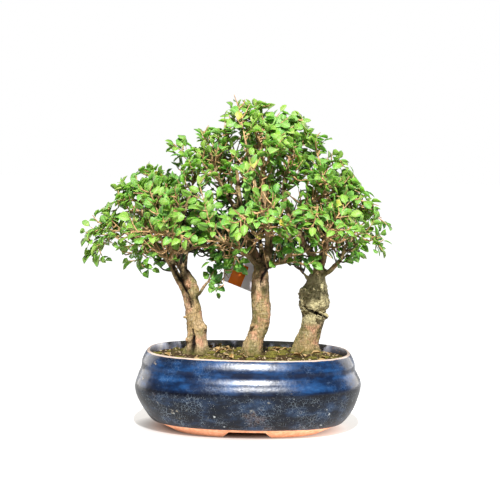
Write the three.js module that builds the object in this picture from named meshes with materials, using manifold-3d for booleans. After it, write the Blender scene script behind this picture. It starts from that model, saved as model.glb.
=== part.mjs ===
// A small forest bonsai: three Chinese elms in a glazed oval pot, with their soil.
// Millimetres, +Z up. Everything is drawn about the pot's middle, with z = 0 under its feet, and the
// whole group is moved at the end so that the origin is under the middle of its outline.
import * as THREE from "three";
import { mergeVertices } from "three/addons/utils/BufferGeometryUtils.js";
import Module from "manifold-3d";

const wasm = await Module();
wasm.setup();

// Clearances and the pot
const GAP = 0.3;
const OVAL_POWER = 2.5;
const POT_SIDES = 40;
const POT_HALF_LENGTH = 130;
const POT_HALF_WIDTH = 99;
const POT_HEIGHT = 89.5;
const FLOOR_TOP = 16;
const FLOOR_UNDERSIDE = 7.5;
const RIDGE_LEAN = 0.027;
const DRAIN_RADIUS = 8;
const DRAIN_X = 48;
const SCREEN_SIDE = 30;
const SCREEN_THICKNESS = 1.2;
const SCREEN_OPENING = 9;

// Outer wall from the foot to the rim: height, how far inside the widest outline, and how much of the
// ridge's lean the ring takes. The foot's own ring is drawn in more at the ends than at the sides.
const FOOT_BOTTOM = { z: 0, long: 44, wide: 34, lean: 0 };
const OUTER_WALL = [
  { z: 9.5, long: 24, wide: 24, lean: 0 },
  { z: 11, long: 19.5, wide: 19.5, lean: 0 },
  { z: 26, long: 8.2, wide: 8.2, lean: 0 },
  { z: 41, long: 1.6, wide: 1.6, lean: 0.7 },
  { z: 49.5, long: 0, wide: 0, lean: 1 },
  { z: 54, long: 1.6, wide: 1.6, lean: 0.8 },
  { z: 62, long: 2.2, wide: 2.2, lean: 0.3 },
  { z: 68, long: 3.8, wide: 3.8, lean: 0 },
  { z: 71, long: 5.7, wide: 5.7, lean: 0 },
  { z: 78, long: 5.8, wide: 5.8, lean: 0 },
  { z: 84.5, long: 8.8, wide: 8.8, lean: 0 },
  { z: POT_HEIGHT, long: 14.2, wide: 14.2, lean: 0 },
];
const INNER_WALL = [
  { z: POT_HEIGHT, long: 16.8, wide: 16.8, lean: 0 },
  { z: 82, long: 16.4, wide: 16.4, lean: 0 },
  { z: 50, long: 8.5, wide: 8.5, lean: 0 },
  { z: 26, long: 16.5, wide: 16.5, lean: 0 },
  { z: FLOOR_TOP, long: 29, wide: 29, lean: 0 },
];
const FOOT_RING_WIDTH = 12;
const FOOT_CUT_HEIGHT = 6.8;
const FOOT_CUT_LONG_SIDE = 55;
const FOOT_CUT_END = 44;
const FOOT_CUT_SLANT = 7;

// Soil: its top rises in rings from an edge inside the pot's wall to a low crown with small waves
const SOIL = {
  edgeZ: 82,
  inset: 16.5,
  rings: [0, 30, 60, 86],
  narrowing: 0.78,
  crown: 5.2,
  wave: 0.8,
  waveLengths: [9, 8],
};
const TRUNK_FOOT_Z = 68;
const HOLE_CLEARANCE = 0.35;

// Wood
const TRUNK_SIDES = 9;
const LIMB_SIDES = 4;
const THIN_SIDES = 3;
const FLARE = { top: 92, fade: 9 };
const BURL_SHAPE = { columns: 10, rows: 7, square: 0.22, drop: 1.1, lowSlant: 0.8, highSlant: 0.2 };

// Buds: the first one's place on a limb or branch, their spacing, and what weighs against using one
const LIMB_BUDS = { first: 0.35, spacing: 12 };
const BRANCH_BUDS = { first: 0.5, spacing: 14 };
const BUD_COST = { turn: 0.45, used: 14, cramped: 60, tooNear: 28 };

// Thin branches that carry the sprays: radii, how far they run on before they bend, and their clearances
const TWIG_RADIUS = 1.1;
const BRANCH = { radius: 1.6, longRadius: 1.9, longFrom: 105, bend: 0.34, sink: 1.5, rootGap: 0.75 };
const SPRAY_LENGTH = 62;
const STUB_LENGTH = 7;
const AXIS_ROOM = 2.5;
const SEEDS = { left: 100, middle: 200, right: 300 };

// Leaves: sizes, and the ranges that each one's own size, angle and bend are drawn from
const LEAF = {
  length: 13.5,
  width: 7.6,
  thickness: 0.68,
  stalkHalf: 0.65,
  size: [0.88, 1.14],
  open: [0.78, 1.05],
  endOpen: [-0.12, 0.12],
  rise: [-0.4, 0.3],
  roll: [-0.55, 0.55],
  droop: [0.5, 2],
};
// The outline of a leaf: how far along it, and how wide there as a part of its greatest width
const LEAF_OUTLINE = [[0.34, 1], [0.74, 0.72], [1, 0]];

// A spray's flat fan: half widths of its stems, and the ranges that its shoots are drawn from
const FAN = {
  stemHalf: 0.85,
  shootHalf: 0.6,
  stemThickness: 1.2,
  shift: [0.93, 1.07],
  leafShift: [0.96, 1.04],
  angle: [0.72, 0.92],
  reach: [0.85, 1.1],
  lean: [-0.25, 0.3],
  shootLeaf: [0.4, 0.55],
  outward: 0.75,
  upward: 0.7,
};
const CROWN_HEART = [-8, 0, 190];

// Clearances that decide which shoots and leaves have room: of shoots to wood and to each other, and of
// leaves to wood, to each other and to other sprays' stems, some as parts of a leaf's width
const ROOM = {
  shootToWood: 2.6,
  shoots: 5,
  leafToWood: 0.6,
  leaves: 0.8,
  ownSpace: 0.45,
  ownSpaceMore: 0.6,
  ownSpaceTip: 1,
  trunk: 12,
  burledTrunk: 17,
};

// Where the shoots and the leaves of a spray stand on its stem, as parts of the stem's length, and on
// which hand; reach is a shoot's length as a part of the spray's
const SHOOTS = [
  { at: 0.18, hand: 1, reach: 0.34 },
  { at: 0.46, hand: -1, reach: 0.27 },
  { at: 0.72, hand: 1, reach: 0.2 },
];
const LEAVES = [
  { at: 0.3, hand: -1 },
  { at: 0.5, hand: 1 },
  { at: 0.7, hand: -1 },
  { at: 0.88, hand: 1 },
];

// A trunk's stations are its centre x, y, z and its radius, from the hole in the soil to the fork.
// Flares are roots that swell its base, as an angle in degrees and a swell. A limb goes along its path
// from one radius to another. Tips are where the ends of the leafy sprays come to.
const TREES = {
  left: {
    trunk: [
      [-60, 0, TRUNK_FOOT_Z, 15], [-60, 0, 89, 13.8], [-60, 0, 99, 12.4], [-60, 0, 110, 11.6],
      [-63, 0, 124, 10], [-66, 0, 141, 9.2], [-68, 0, 151, 9], [-70, 1, 158, 7],
    ],
    flares: [[185, 3.5], [-8, 4], [250, 2.5], [80, 3]],
    limbs: [
      { from: 5.4, to: 1.7, path: [[-69, -1, 143], [-75, -2, 158], [-83, -4, 172], [-93, -6, 191],
        [-104, -8, 202], [-122, -11, 215], [-146, -12, 224]] },
      { from: 6.2, to: 1.7, path: [[-65, 1, 146], [-63, 2, 155], [-67, 3, 166], [-74, 5, 176],
        [-86, 8, 193], [-96, 12, 216], [-103, 14, 242], [-107, 14, 270]] },
      { from: 2.8, to: 1.5, path: [[-62, -1, 148], [-57, -5, 156], [-51, -9, 165], [-48, -12, 169]] },
      { from: 3.4, to: 1.4, path: [[-88, 8, 198], [-77, 5, 203], [-66, 2, 207], [-52, -8, 211],
        [-36, -16, 208]] },
      { from: 3.2, to: 1.4, path: [[-76, 5, 179], [-75, 28, 200], [-74, 54, 220], [-80, 72, 232]] },
      { from: 3.2, to: 1.4, path: [[-90, -5, 186], [-89, -28, 203], [-90, -52, 218], [-92, -66, 226]] },
      { from: 3, to: 1.4, path: [[-104, -8, 202], [-116, -4, 222], [-124, 4, 244], [-130, 8, 262]] },
      { from: 3.2, to: 1.4, path: [[-93, 10, 208], [-84, 2, 230], [-74, -2, 256], [-66, 0, 288]] },
    ],
    tips: [
      [-193, -8, 210], [-180, 14, 237], [-158, -22, 258], [-154, 16, 280], [-122, 2, 297],
      [-102, 10, 332], [-184, 24, 187], [-128, -22, 186], [-104, 34, 190], [-30, -28, 162],
      [-142, -64, 228], [-98, -88, 236], [-116, -54, 282], [-140, 68, 230], [-90, 98, 238],
      [-108, 60, 292], [-60, -92, 218],
    ],
  },
  middle: {
    trunk: [
      [4, -8, TRUNK_FOOT_Z, 14.5], [4, -8, 89, 12.4], [6, -8, 99, 10.8], [10, -7, 111, 10.4],
      [14, -6, 129, 11.6], [13, -5, 147, 10.8], [12, -4, 164, 10.6], [13, -3, 180, 8.8], [14, -2, 190, 6],
    ],
    flares: [[190, 2.5], [300, 2], [60, 2.5]],
    limbs: [
      { from: 6, to: 1.7, path: [[12, -3, 178], [5, -2, 200], [-5, 1, 221], [-12, 4, 248],
        [-16, 4, 280], [-20, 2, 312]] },
      { from: 6, to: 1.7, path: [[14, -3, 180], [21, 0, 208], [20, -3, 240], [14, -5, 272],
        [12, -6, 304], [6, -6, 332]] },
      { from: 4, to: 1.6, path: [[14, -4, 176], [18, -10, 185], [28, -14, 191], [42, -21, 194]] },
      { from: 3.4, to: 1.4, path: [[12, -4, 184], [-3, -18, 200], [-18, -34, 212], [-34, -52, 220]] },
      { from: 3.4, to: 1.4, path: [[13, -2, 184], [12, 20, 206], [9, 48, 224], [7, 72, 236]] },
      { from: 3.2, to: 1.4, path: [[20, -3, 203], [18, -28, 224], [16, -54, 240], [14, -70, 250]] },
      { from: 3.2, to: 1.5, path: [[10, -2, 186], [0, 9, 198], [-14, 14, 206], [-32, 22, 214],
        [-46, 44, 222]] },
      { from: 3, to: 1.4, path: [[-11, 4, 244], [-26, 2, 264], [-40, 0, 290], [-46, 2, 310]] },
    ],
    tips: [
      [-60, 4, 348], [-20, -4, 380], [19, 2, 375], [-22, -34, 176], [66, -46, 192], [-60, -70, 290],
      [-22, -104, 238], [-12, -84, 304], [28, -102, 254], [30, -64, 330], [-48, 102, 232],
      [-46, 72, 308], [8, 110, 248], [12, 72, 332], [-34, -34, 346], [2, 34, 364], [26, 62, 284],
    ],
  },
  right: {
    trunk: [
      [67, 30, TRUNK_FOOT_Z, 17.5], [67, 30, 89, 16], [69, 29, 99, 13.6], [72, 28, 110, 13],
      [75, 26, 126, 13.2], [75, 25, 139, 14.2], [75, 24, 153, 14.4], [77, 23, 162, 13.2],
      [79, 21, 175, 10], [82, 20, 186, 7],
    ],
    flares: [[200, 4], [-20, 3.5], [275, 3], [100, 3]],
    burl: { centre: [73.5, 22, 146], size: [18.4, 17, 16.5], tilt: 0.42 },
    limbs: [
      { from: 5.4, to: 3.6, path: [[79, 21, 176], [76, 17, 192], [68, 14, 204], [60, 12, 214],
        [57, 10, 224], [47, 8, 241], [43, 6, 247]] },
      { from: 3.8, to: 1.6, path: [[44, 6, 246], [52, 2, 250], [61, -2, 257], [72, -6, 264],
        [86, -10, 276]] },
      { from: 3.8, to: 1.6, path: [[44, 7, 245], [38, 6, 264], [38, 2, 290], [44, -2, 318]] },
      { from: 3.4, to: 1.5, path: [[84, 20, 176], [90, 17, 180], [97, 14, 187], [104, 10, 195],
        [110, 4, 213], [124, 2, 226]] },
      { from: 5.6, to: 1.6, path: [[81, 20, 180], [85, 21, 204], [89, 22, 230], [89, 20, 258],
        [84, 14, 292]] },
      { from: 3.4, to: 1.4, path: [[84, 21, 186], [86, 42, 206], [86, 64, 222], [84, 80, 232]] },
      { from: 3.4, to: 1.4, path: [[84, 20, 188], [86, -2, 206], [86, -28, 222], [84, -54, 232]] },
      { from: 3, to: 1.4, path: [[89, 22, 226], [104, 22, 244], [118, 20, 258], [124, 16, 268]] },
      { from: 2, to: 1.2, path: [[72, 24, 168], [62, 14, 178], [54, 10, 188], [46, 2, 197]] },
    ],
    tips: [
      [51, -6, 365], [79, 6, 330], [107, -12, 312], [138, 8, 272], [153, -6, 257], [168, 4, 227],
      [155, -10, 202], [128, 24, 206], [66, -92, 234], [74, -64, 294], [112, -66, 234],
      [116, -44, 272], [60, 104, 238], [64, 74, 298], [114, 78, 240], [110, 52, 288], [62, 42, 342],
    ],
  },
};

// Hang tag: a card behind the middle trunk, on a tie round one of its limbs
const TAG = { width: 44, height: 34, thickness: 0.8, tilt: 21, hole: 2.2, holeIn: 5.5 };
const TIE = { x: -17, y: 15.1, limbTop: 210.4, halfHeight: 8.5, halfWidth: 5.2, radius: 0.7, steps: 10 };

const COLOURS = {
  glaze: [0x23406f, 0.2],
  soil: [0x5c5030, 0.95],
  bark: [0x9c8660, 0.85],
  leaf: [0x4f9a3c, 0.55],
  card: [0xe6dfd6, 0.6],
  tie: [0x3f4a3a, 0.5],
  screen: [0x23262a, 0.6],
};

// Small helpers

function draws(seed) {
  let state = seed >>> 0;
  return () => {
    state = (state + 0x6d2b79f5) >>> 0;
    let mixed = Math.imul(state ^ (state >>> 15), state | 1);
    mixed ^= mixed + Math.imul(mixed ^ (mixed >>> 7), mixed | 61);
    return ((mixed ^ (mixed >>> 14)) >>> 0) / 4294967296;
  };
}

function vector([x, y, z]) {
  return new THREE.Vector3(x, y, z);
}

function mix(a, b, t) {
  return a + (b - a) * t;
}

function between([low, high], draw) {
  return mix(low, high, draw());
}

// A geometry with its shared corners joined and without faces that have shrunk to a line
function welded(geometry) {
  const bare = geometry.clone();
  bare.deleteAttribute("normal");
  bare.deleteAttribute("uv");
  const merged = mergeVertices(bare, 1e-4);
  const index = merged.index.array;
  const kept = [];
  for (let i = 0; i < index.length; i += 3) {
    const [a, b, c] = [index[i], index[i + 1], index[i + 2]];
    if (a !== b && b !== c && c !== a) kept.push(a, b, c);
  }
  merged.setIndex(kept);
  return merged;
}

// A copy of a geometry with each corner put where place(corner, index) says
function reshaped(geometry, place) {
  const position = geometry.getAttribute("position");
  const corner = new THREE.Vector3();
  for (let i = 0; i < position.count; i += 1) {
    corner.fromBufferAttribute(position, i);
    const moved = place(corner, i);
    position.setXYZ(i, moved.x, moved.y, moved.z);
  }
  return geometry;
}

function solid(geometry) {
  const closed = welded(geometry);
  const mesh = new wasm.Mesh({
    numProp: 3,
    vertProperties: new Float32Array(closed.getAttribute("position").array),
    triVerts: new Uint32Array(closed.index.array),
  });
  return new wasm.Manifold(mesh);
}

function joined(solids) {
  return solids.reduce((whole, piece) => whole.add(piece));
}

function named(name, body, [colour, roughness]) {
  const mesh = body.getMesh();
  const geometry = new THREE.BufferGeometry();
  geometry.setAttribute("position", new THREE.BufferAttribute(new Float32Array(mesh.vertProperties), 3));
  geometry.setIndex(new THREE.BufferAttribute(new Uint32Array(mesh.triVerts), 1));
  geometry.computeVertexNormals();
  const material = new THREE.MeshStandardMaterial({ color: colour, roughness, metalness: 0 });
  const node = new THREE.Mesh(geometry, material);
  node.name = name;
  return node;
}

// Pot and soil

// A point of the oval plan at an angle, for a ring's half length and half width
function ovalPoint(angle, halfLength, halfWidth) {
  const cosine = Math.cos(angle);
  const sine = Math.sin(angle);
  const power = 2 / OVAL_POWER;
  return [
    Math.sign(cosine) * Math.abs(cosine) ** power * halfLength,
    Math.sign(sine) * Math.abs(sine) ** power * halfWidth,
  ];
}

// A body of oval rings, from the axis at the first ring's height to the axis at the last one's
function ovalBody(rings, inset = 0) {
  const closedRings = [{ ...rings[0], axis: true }, ...rings, { ...rings.at(-1), axis: true }];
  const profile = closedRings.map((ring) => new THREE.Vector2(ring.axis ? 0 : 1, ring.z));
  const lathe = new THREE.LatheGeometry(profile, POT_SIDES);
  const shaped = reshaped(lathe, (corner, i) => {
    const turn = Math.floor(i / closedRings.length) % POT_SIDES;
    const ring = closedRings[i % closedRings.length];
    const angle = (2 * Math.PI * (turn + 0.5)) / POT_SIDES;
    const [x, y] = ring.axis
      ? [0, 0]
      : ovalPoint(angle, POT_HALF_LENGTH - ring.long - inset, POT_HALF_WIDTH - ring.wide - inset);
    const raise = ring.raise ? ring.raise(x, y) : -RIDGE_LEAN * ring.lean * x;
    return new THREE.Vector3(x, y, ring.z + raise);
  });
  const body = solid(shaped);
  return body.volume() < 0 ? solid(flipped(shaped)) : body;
}

function flipped(geometry) {
  const turned = welded(geometry);
  const index = turned.index.array;
  for (let i = 0; i < index.length; i += 3) [index[i], index[i + 1]] = [index[i + 1], index[i]];
  return turned;
}

// A bar with a foot cut's outline, laid under the pot along Y or, when turned, along X
function footCut(width, alongX) {
  const half = width / 2;
  const outline = new THREE.Shape([
    new THREE.Vector2(-half, -1),
    new THREE.Vector2(half, -1),
    new THREE.Vector2(half - FOOT_CUT_SLANT, FOOT_CUT_HEIGHT),
    new THREE.Vector2(FOOT_CUT_SLANT - half, FOOT_CUT_HEIGHT),
  ]);
  const length = 3 * POT_HALF_LENGTH;
  const bar = new THREE.ExtrudeGeometry(outline, { depth: length, bevelEnabled: false });
  bar.translate(0, 0, -length / 2);
  bar.rotateX(Math.PI / 2);
  if (alongX) bar.rotateZ(Math.PI / 2);
  return solid(bar);
}

function drain(x) {
  const hole = new THREE.CylinderGeometry(DRAIN_RADIUS, DRAIN_RADIUS, 2 * FLOOR_TOP, 12);
  hole.rotateX(Math.PI / 2);
  hole.translate(x, 0, FLOOR_TOP);
  return solid(hole);
}

function pot() {
  const inside = { long: FOOT_BOTTOM.long + FOOT_RING_WIDTH, wide: FOOT_BOTTOM.wide + FOOT_RING_WIDTH };
  const rings = [
    { ...FOOT_BOTTOM, ...inside, z: FLOOR_UNDERSIDE },
    { ...FOOT_BOTTOM, ...inside },
    FOOT_BOTTOM,
    ...OUTER_WALL,
    ...INNER_WALL,
  ];
  return ovalBody(rings)
    .subtract(footCut(FOOT_CUT_LONG_SIDE, false))
    .subtract(footCut(FOOT_CUT_END, true))
    .subtract(drain(-DRAIN_X))
    .subtract(drain(DRAIN_X));
}

// Height of the soil above its edge: a low crown with small waves
function soilRaise(x, y) {
  const [halfLength, halfWidth] = [POT_HALF_LENGTH - SOIL.inset, POT_HALF_WIDTH - SOIL.inset];
  const reach = Math.min(1, Math.hypot(x / halfLength, y / halfWidth));
  const waves = Math.sin(x / SOIL.waveLengths[0]) * Math.cos(y / SOIL.waveLengths[1]);
  return SOIL.crown * (1 - reach ** 2) + SOIL.wave * waves * (1 - reach ** 4);
}

function soil() {
  const crown = SOIL.rings.map((step) => ({
    z: SOIL.edgeZ,
    long: SOIL.inset + step,
    wide: SOIL.inset + step * SOIL.narrowing,
    lean: 0,
    raise: soilRaise,
  }));
  const lowest = FLOOR_TOP + GAP;
  const walls = INNER_WALL.slice(2).reverse().map((ring) => ({ ...ring, z: Math.max(ring.z, lowest) }));
  let body = ovalBody([...walls, ...crown], HOLE_CLEARANCE);
  for (const x of [-DRAIN_X, DRAIN_X]) {
    const side = SCREEN_SIDE + 2 * GAP;
    const recess = new THREE.BoxGeometry(side, side, 2 * (SCREEN_THICKNESS + 2 * GAP));
    recess.translate(x, 0, FLOOR_TOP);
    body = body.subtract(solid(recess));
  }
  for (const tree of Object.values(TREES)) body = body.subtract(trunk(tree, HOLE_CLEARANCE));
  return body;
}

// A square plastic screen with square openings, over a drainage hole
function screen(x) {
  const plate = new THREE.BoxGeometry(SCREEN_SIDE, SCREEN_SIDE, SCREEN_THICKNESS);
  const pitch = SCREEN_SIDE / 2.5;
  let body = solid(plate);
  for (const column of [-0.5, 0.5]) {
    for (const row of [-0.5, 0.5]) {
      const opening = new THREE.BoxGeometry(SCREEN_OPENING, SCREEN_OPENING, 3 * SCREEN_THICKNESS);
      opening.translate(column * pitch, row * pitch, 0);
      body = body.subtract(solid(opening));
    }
  }
  return body.translate([x, 0, FLOOR_TOP + GAP + SCREEN_THICKNESS / 2]);
}

// Wood

// A closed tube of a few sides along a curve, with the radius that radiusAt(along, angle) gives
function tube(curve, sides, steps, radiusAt) {
  const unit = welded(new THREE.CylinderGeometry(1, 1, 1, sides, steps));
  const frames = curve.computeFrenetFrames(steps, false);
  const shaped = reshaped(unit, (corner) => {
    const step = Math.round((corner.y + 0.5) * steps);
    const along = step / steps;
    const centre = curve.getPointAt(along);
    const spread = Math.hypot(corner.x, corner.z);
    const radius = spread * radiusAt(along, Math.atan2(corner.z, corner.x));
    if (spread < 1e-6) return centre;
    return centre
      .addScaledVector(frames.normals[step], (corner.x / spread) * radius)
      .addScaledVector(frames.binormals[step], (-corner.z / spread) * radius);
  });
  const body = solid(shaped);
  return body.volume() < 0 ? solid(flipped(shaped)) : body;
}

// A trunk with its root flares; more makes it that much fatter and longer below, for its hole
function trunk(tree, more = 0) {
  const stations = tree.trunk.map(([x, y, z, r]) => ({ centre: vector([x, y, z]), r }));
  if (more > 0) stations[0].centre.z -= more;
  const unit = welded(new THREE.CylinderGeometry(1, 1, 1, TRUNK_SIDES, stations.length - 1));
  const shaped = reshaped(unit, (corner) => {
    const { centre, r } = stations[Math.round((corner.y + 0.5) * (stations.length - 1))];
    if (Math.hypot(corner.x, corner.z) < 1e-6) return centre.clone();
    const angle = Math.atan2(-corner.z, corner.x);
    const radius = r + more + flare(tree, centre.z, angle);
    return new THREE.Vector3(
      centre.x + radius * Math.cos(angle),
      centre.y + radius * Math.sin(angle),
      centre.z,
    );
  });
  return solid(shaped);
}

// How far the roots swell a trunk's base at an angle, fading with height
function flare(tree, z, angle) {
  const fade = Math.exp(-Math.max(0, z - FLARE.top) / FLARE.fade);
  return tree.flares.reduce((sum, [degrees, swell]) => {
    const off = Math.cos(angle - THREE.MathUtils.degToRad(degrees));
    return sum + fade * swell * Math.max(0, off) ** 3;
  }, 0);
}

// A lump of wood whose lower edge slants down to the right
function burl({ centre, size, tilt }) {
  const lump = welded(new THREE.SphereGeometry(1, BURL_SHAPE.columns, BURL_SHAPE.rows));
  const shaped = reshaped(lump, (corner) => {
    const low = corner.y < 0;
    const square = 1 + BURL_SHAPE.square * Math.abs(corner.y);
    const x = corner.x * size[0] * square;
    const height = corner.y * size[2] * (low ? 1 : BURL_SHAPE.drop);
    const slant = tilt * x * (low ? BURL_SHAPE.lowSlant : BURL_SHAPE.highSlant);
    return vector([centre[0] + x, centre[1] - corner.z * size[1] * square, centre[2] + height - slant]);
  });
  return solid(shaped);
}

// The places on a limb or branch that later growth can start from, on its straight stretches
function buds({ curve, line }, { first, spacing }) {
  const count = Math.max(2, Math.round(curve.getLength() / spacing));
  const found = [];
  for (let i = Math.ceil(first * count); i <= count; i += 1) {
    const along = (i / count) * (line.length - 1);
    const stretch = Math.min(Math.floor(along), line.length - 2);
    const [start, end] = [line[stretch], line[stretch + 1]];
    const point = start.clone().lerp(end, along - stretch);
    found.push({ point, heading: end.clone().sub(start).normalize(), used: 0 });
  }
  return found;
}

// What it costs a spray with this tip to grow from a bud: little where the bud is near, points at the
// tip and isn't crowded
function budCost(bud, tip) {
  const way = tip.clone().sub(bud.point);
  const distance = way.length();
  const turn = 1 - way.normalize().dot(bud.heading);
  const cramped = distance < BUD_COST.tooNear ? BUD_COST.cramped : 0;
  return distance * (1 + BUD_COST.turn * turn) + BUD_COST.used * bud.used + cramped;
}

// The thin branch from a bud and the spray's own stem beyond it, as one curve cut in two by a gap
function shootFrom(bud, tip) {
  const reach = tip.distanceTo(bud.point);
  const bend = bud.point.clone().addScaledVector(bud.heading, BRANCH.bend * reach);
  const whole = new THREE.QuadraticBezierCurve3(bud.point, bend, tip);
  const length = whole.getLength();
  const split = 1 - Math.min(SPRAY_LENGTH, length - STUB_LENGTH - 2) / length;
  const sunk = bud.point.clone().addScaledVector(bud.heading, -BRANCH.sink);
  const branch = new THREE.CatmullRomCurve3([sunk, ...[0.5, 1].map((t) => whole.getPointAt(t * split))]);
  const start = split + BRANCH.rootGap / length;
  const axis = [0, 1 / 3, 2 / 3, 1].map((t) => whole.getPointAt(mix(start, 1, t)));
  return { branch, axis, long: length > BRANCH.longFrom };
}

// Room round a new spray: off all wood and other sprays, and its branch off the sprays before it
function hasRoom({ branch, axis }, limbs, sprays) {
  const stem = [axis[0].clone().lerp(axis[1], 0.2), ...axis.slice(1)];
  const offWood = limbs.every((limb) => lineGap(stem, limb.line) > limb.from + AXIS_ROOM);
  const offSprays = sprays.every((spray) => lineGap(axis, spray.axis) > 4 * AXIS_ROOM);
  const line = branch.getSpacedPoints(2);
  return offWood && offSprays && sprays.every((spray) => lineGap(line, spray.axis) > 2 * AXIS_ROOM);
}

// A limb with the line of points that other growth keeps off
function limbOf(curve, steps, from, to, thin = false) {
  return { curve, steps, from, to, thin, line: curve.getSpacedPoints(steps) };
}

// Every tree's limbs, the thin branches that carry its sprays on from them, and its sprays' stems
function grow() {
  const trees = Object.entries(TREES).map(([name, tree]) => {
    const limbs = tree.limbs.map(({ path, from, to }) => {
      return limbOf(new THREE.CatmullRomCurve3(path.map(vector)), path.length - 1, from, to);
    });
    return { name, tree, limbs, sprays: [] };
  });
  for (const grown of trees) {
    const free = grown.limbs.flatMap((limb) => buds(limb, LIMB_BUDS));
    const crown = vector(grown.tree.trunk.at(-1));
    const tips = grown.tree.tips.map(vector).sort((a, b) => a.distanceTo(crown) - b.distanceTo(crown));
    for (const tip of tips) {
      const ranked = [...free].sort((a, b) => budCost(a, tip) - budCost(b, tip));
      const limbs = trees.flatMap((other) => other.limbs);
      const sprays = trees.flatMap((other) => other.sprays);
      const bud = ranked.find((each) => hasRoom(shootFrom(each, tip), limbs, sprays)) ?? ranked[0];
      bud.used += 1;
      const { branch, axis, long } = shootFrom(bud, tip);
      const radius = long ? BRANCH.longRadius : BRANCH.radius;
      const carrier = limbOf(branch, long ? 2 : 1, radius, TWIG_RADIUS, true);
      grown.limbs.push(carrier);
      free.push(...buds(carrier, BRANCH_BUDS));
      const number = grown.sprays.length + 1;
      const name = `${grown.name}_spray_${String(number).padStart(2, "0")}`;
      grown.sprays.push({ name, axis, seed: SEEDS[grown.name] + number });
    }
  }
  return trees;
}

function wood(tree, limbs) {
  const pieces = limbs.map(({ curve, steps, from, to, thin }) => {
    return tube(curve, thin ? THIN_SIDES : LIMB_SIDES, steps, (along) => mix(from, to, along));
  });
  if (tree.burl) pieces.push(burl(tree.burl));
  return joined([trunk(tree), ...pieces]);
}

// Foliage

// The frame of the flat fan that a spray's leaves lie in: its upper face looks up and outwards
function fanFrame(axis) {
  const heading = axis[3].clone().sub(axis[0]).normalize();
  const outward = axis[3].clone().sub(vector(CROWN_HEART)).normalize();
  const facing = outward.multiplyScalar(FAN.outward).add(new THREE.Vector3(0, 0, FAN.upward));
  facing.addScaledVector(heading, -facing.dot(heading)).normalize();
  return { heading, facing, side: facing.clone().cross(heading) };
}

// A stem of the fan, drawn flat: where it starts, its angle, its length and what grows on it
function stem(start, angle, length, half) {
  return { start, angle, length, half, growth: [] };
}

// The place in the flat fan at a distance along a stem and off its middle
function onStem({ start, angle }, along, off) {
  const [cosine, sine] = [Math.cos(angle), Math.sin(angle)];
  return [start[0] + along * cosine - off * sine, start[1] + along * sine + off * cosine];
}

// A leaf at a distance along a stem, on its left (1), its right (-1) or at its end (0)
function leafOn(parent, along, side, draw) {
  const open = side === 0 ? between(LEAF.endOpen, draw) : side * between(LEAF.open, draw);
  const size = between(LEAF.size, draw);
  const start = onStem(parent, along, side * parent.half);
  const blade = stem(start, parent.angle + open, LEAF.length * size, LEAF.stalkHalf);
  blade.width = LEAF.width * size;
  blade.rise = between(LEAF.rise, draw);
  blade.roll = between(LEAF.roll, draw);
  blade.droop = between(LEAF.droop, draw);
  return Object.assign(blade, { along, side });
}

// The leaves and shoots of a spray, alternate on its stem, from its own seed
function fanPlan(spray, length) {
  const draw = draws(spray.seed * 1009);
  const first = draw() < 0.5 ? 1 : -1;
  const main = stem([0, 0], 0, length - 0.8 * LEAF.length, FAN.stemHalf);
  const shoots = SHOOTS.map(({ at, hand, reach }) => {
    const side = first * hand;
    const along = main.length * at * between(FAN.shift, draw);
    const angle = side * between(FAN.angle, draw);
    const shootLength = length * reach * between(FAN.reach, draw);
    const shoot = stem(onStem(main, along, side * main.half), angle, shootLength, FAN.shootHalf);
    shoot.lean = between(FAN.lean, draw);
    shoot.growth.push(leafOn(shoot, shoot.length * between(FAN.shootLeaf, draw), side, draw));
    shoot.growth.push(leafOn(shoot, shoot.length, 0, draw));
    return Object.assign(shoot, { along, side });
  });
  const leaves = LEAVES.map(({ at, hand }) => {
    return leafOn(main, main.length * at * between(FAN.leafShift, draw), first * hand, draw);
  });
  main.growth.push(...shoots, ...leaves, leafOn(main, main.length, 0, draw));
  return main;
}

// The outline of a leaf from its root up one edge, round its tip and down the other, with the lift
// that bends it out of the fan
function bladeOutline(blade, lean) {
  const root = (edge) => {
    const [x, y] = onStem(blade, 0, edge * blade.half);
    return { x, y, lift: lean, half: FAN.stemThickness / 2 };
  };
  const corner = ([part, width], edge) => {
    const off = edge * width * (blade.width / 2);
    const along = part * blade.length;
    const [x, y] = onStem(blade, along, off);
    const lift = blade.rise * along + blade.roll * off - blade.droop * part * part;
    return { x, y, lift: lift + lean, half: LEAF.thickness / 2 };
  };
  const up = LEAF_OUTLINE.map((station) => corner(station, -1));
  const down = LEAF_OUTLINE.slice(0, -1).reverse().map((station) => corner(station, 1));
  return [root(-1), ...up, ...down, root(1)];
}

// The outline of a stem with all that grows on it: up its right edge, round its end leaf and back
function stemOutline(part, lean = 0) {
  const of = (side) => part.growth.filter((grown) => grown.side === side);
  const upward = (a, b) => a.along - b.along;
  const order = [...of(-1).sort(upward), ...of(0), ...of(1).sort(upward).reverse()];
  const points = order.flatMap((grown) => {
    const leanHere = lean + (part.lean ?? 0) * grown.along;
    return grown.width ? bladeOutline(grown, leanHere) : stemOutline(grown, leanHere);
  });
  const corner = (edge) => {
    const [x, y] = onStem(part, 0, edge * part.half);
    return { x, y, lift: lean, half: FAN.stemThickness / 2 };
  };
  return [corner(-1), ...points, corner(1)];
}

// Puts a place of the flat fan in space. The fan arches as its stem does but doesn't bend sideways,
// so nothing in it folds over
function fanPlacer(spray, length) {
  const curve = new THREE.CatmullRomCurve3(spray.axis);
  const start = spray.axis[0];
  const { heading, facing, side } = fanFrame(spray.axis);
  return (x, y, lift) => {
    const along = Math.min(1, Math.max(0, x / length));
    const arch = curve.getPointAt(along).sub(start).dot(facing);
    return start.clone()
      .addScaledVector(heading, x)
      .addScaledVector(side, y)
      .addScaledVector(facing, arch + lift);
  };
}

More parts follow.
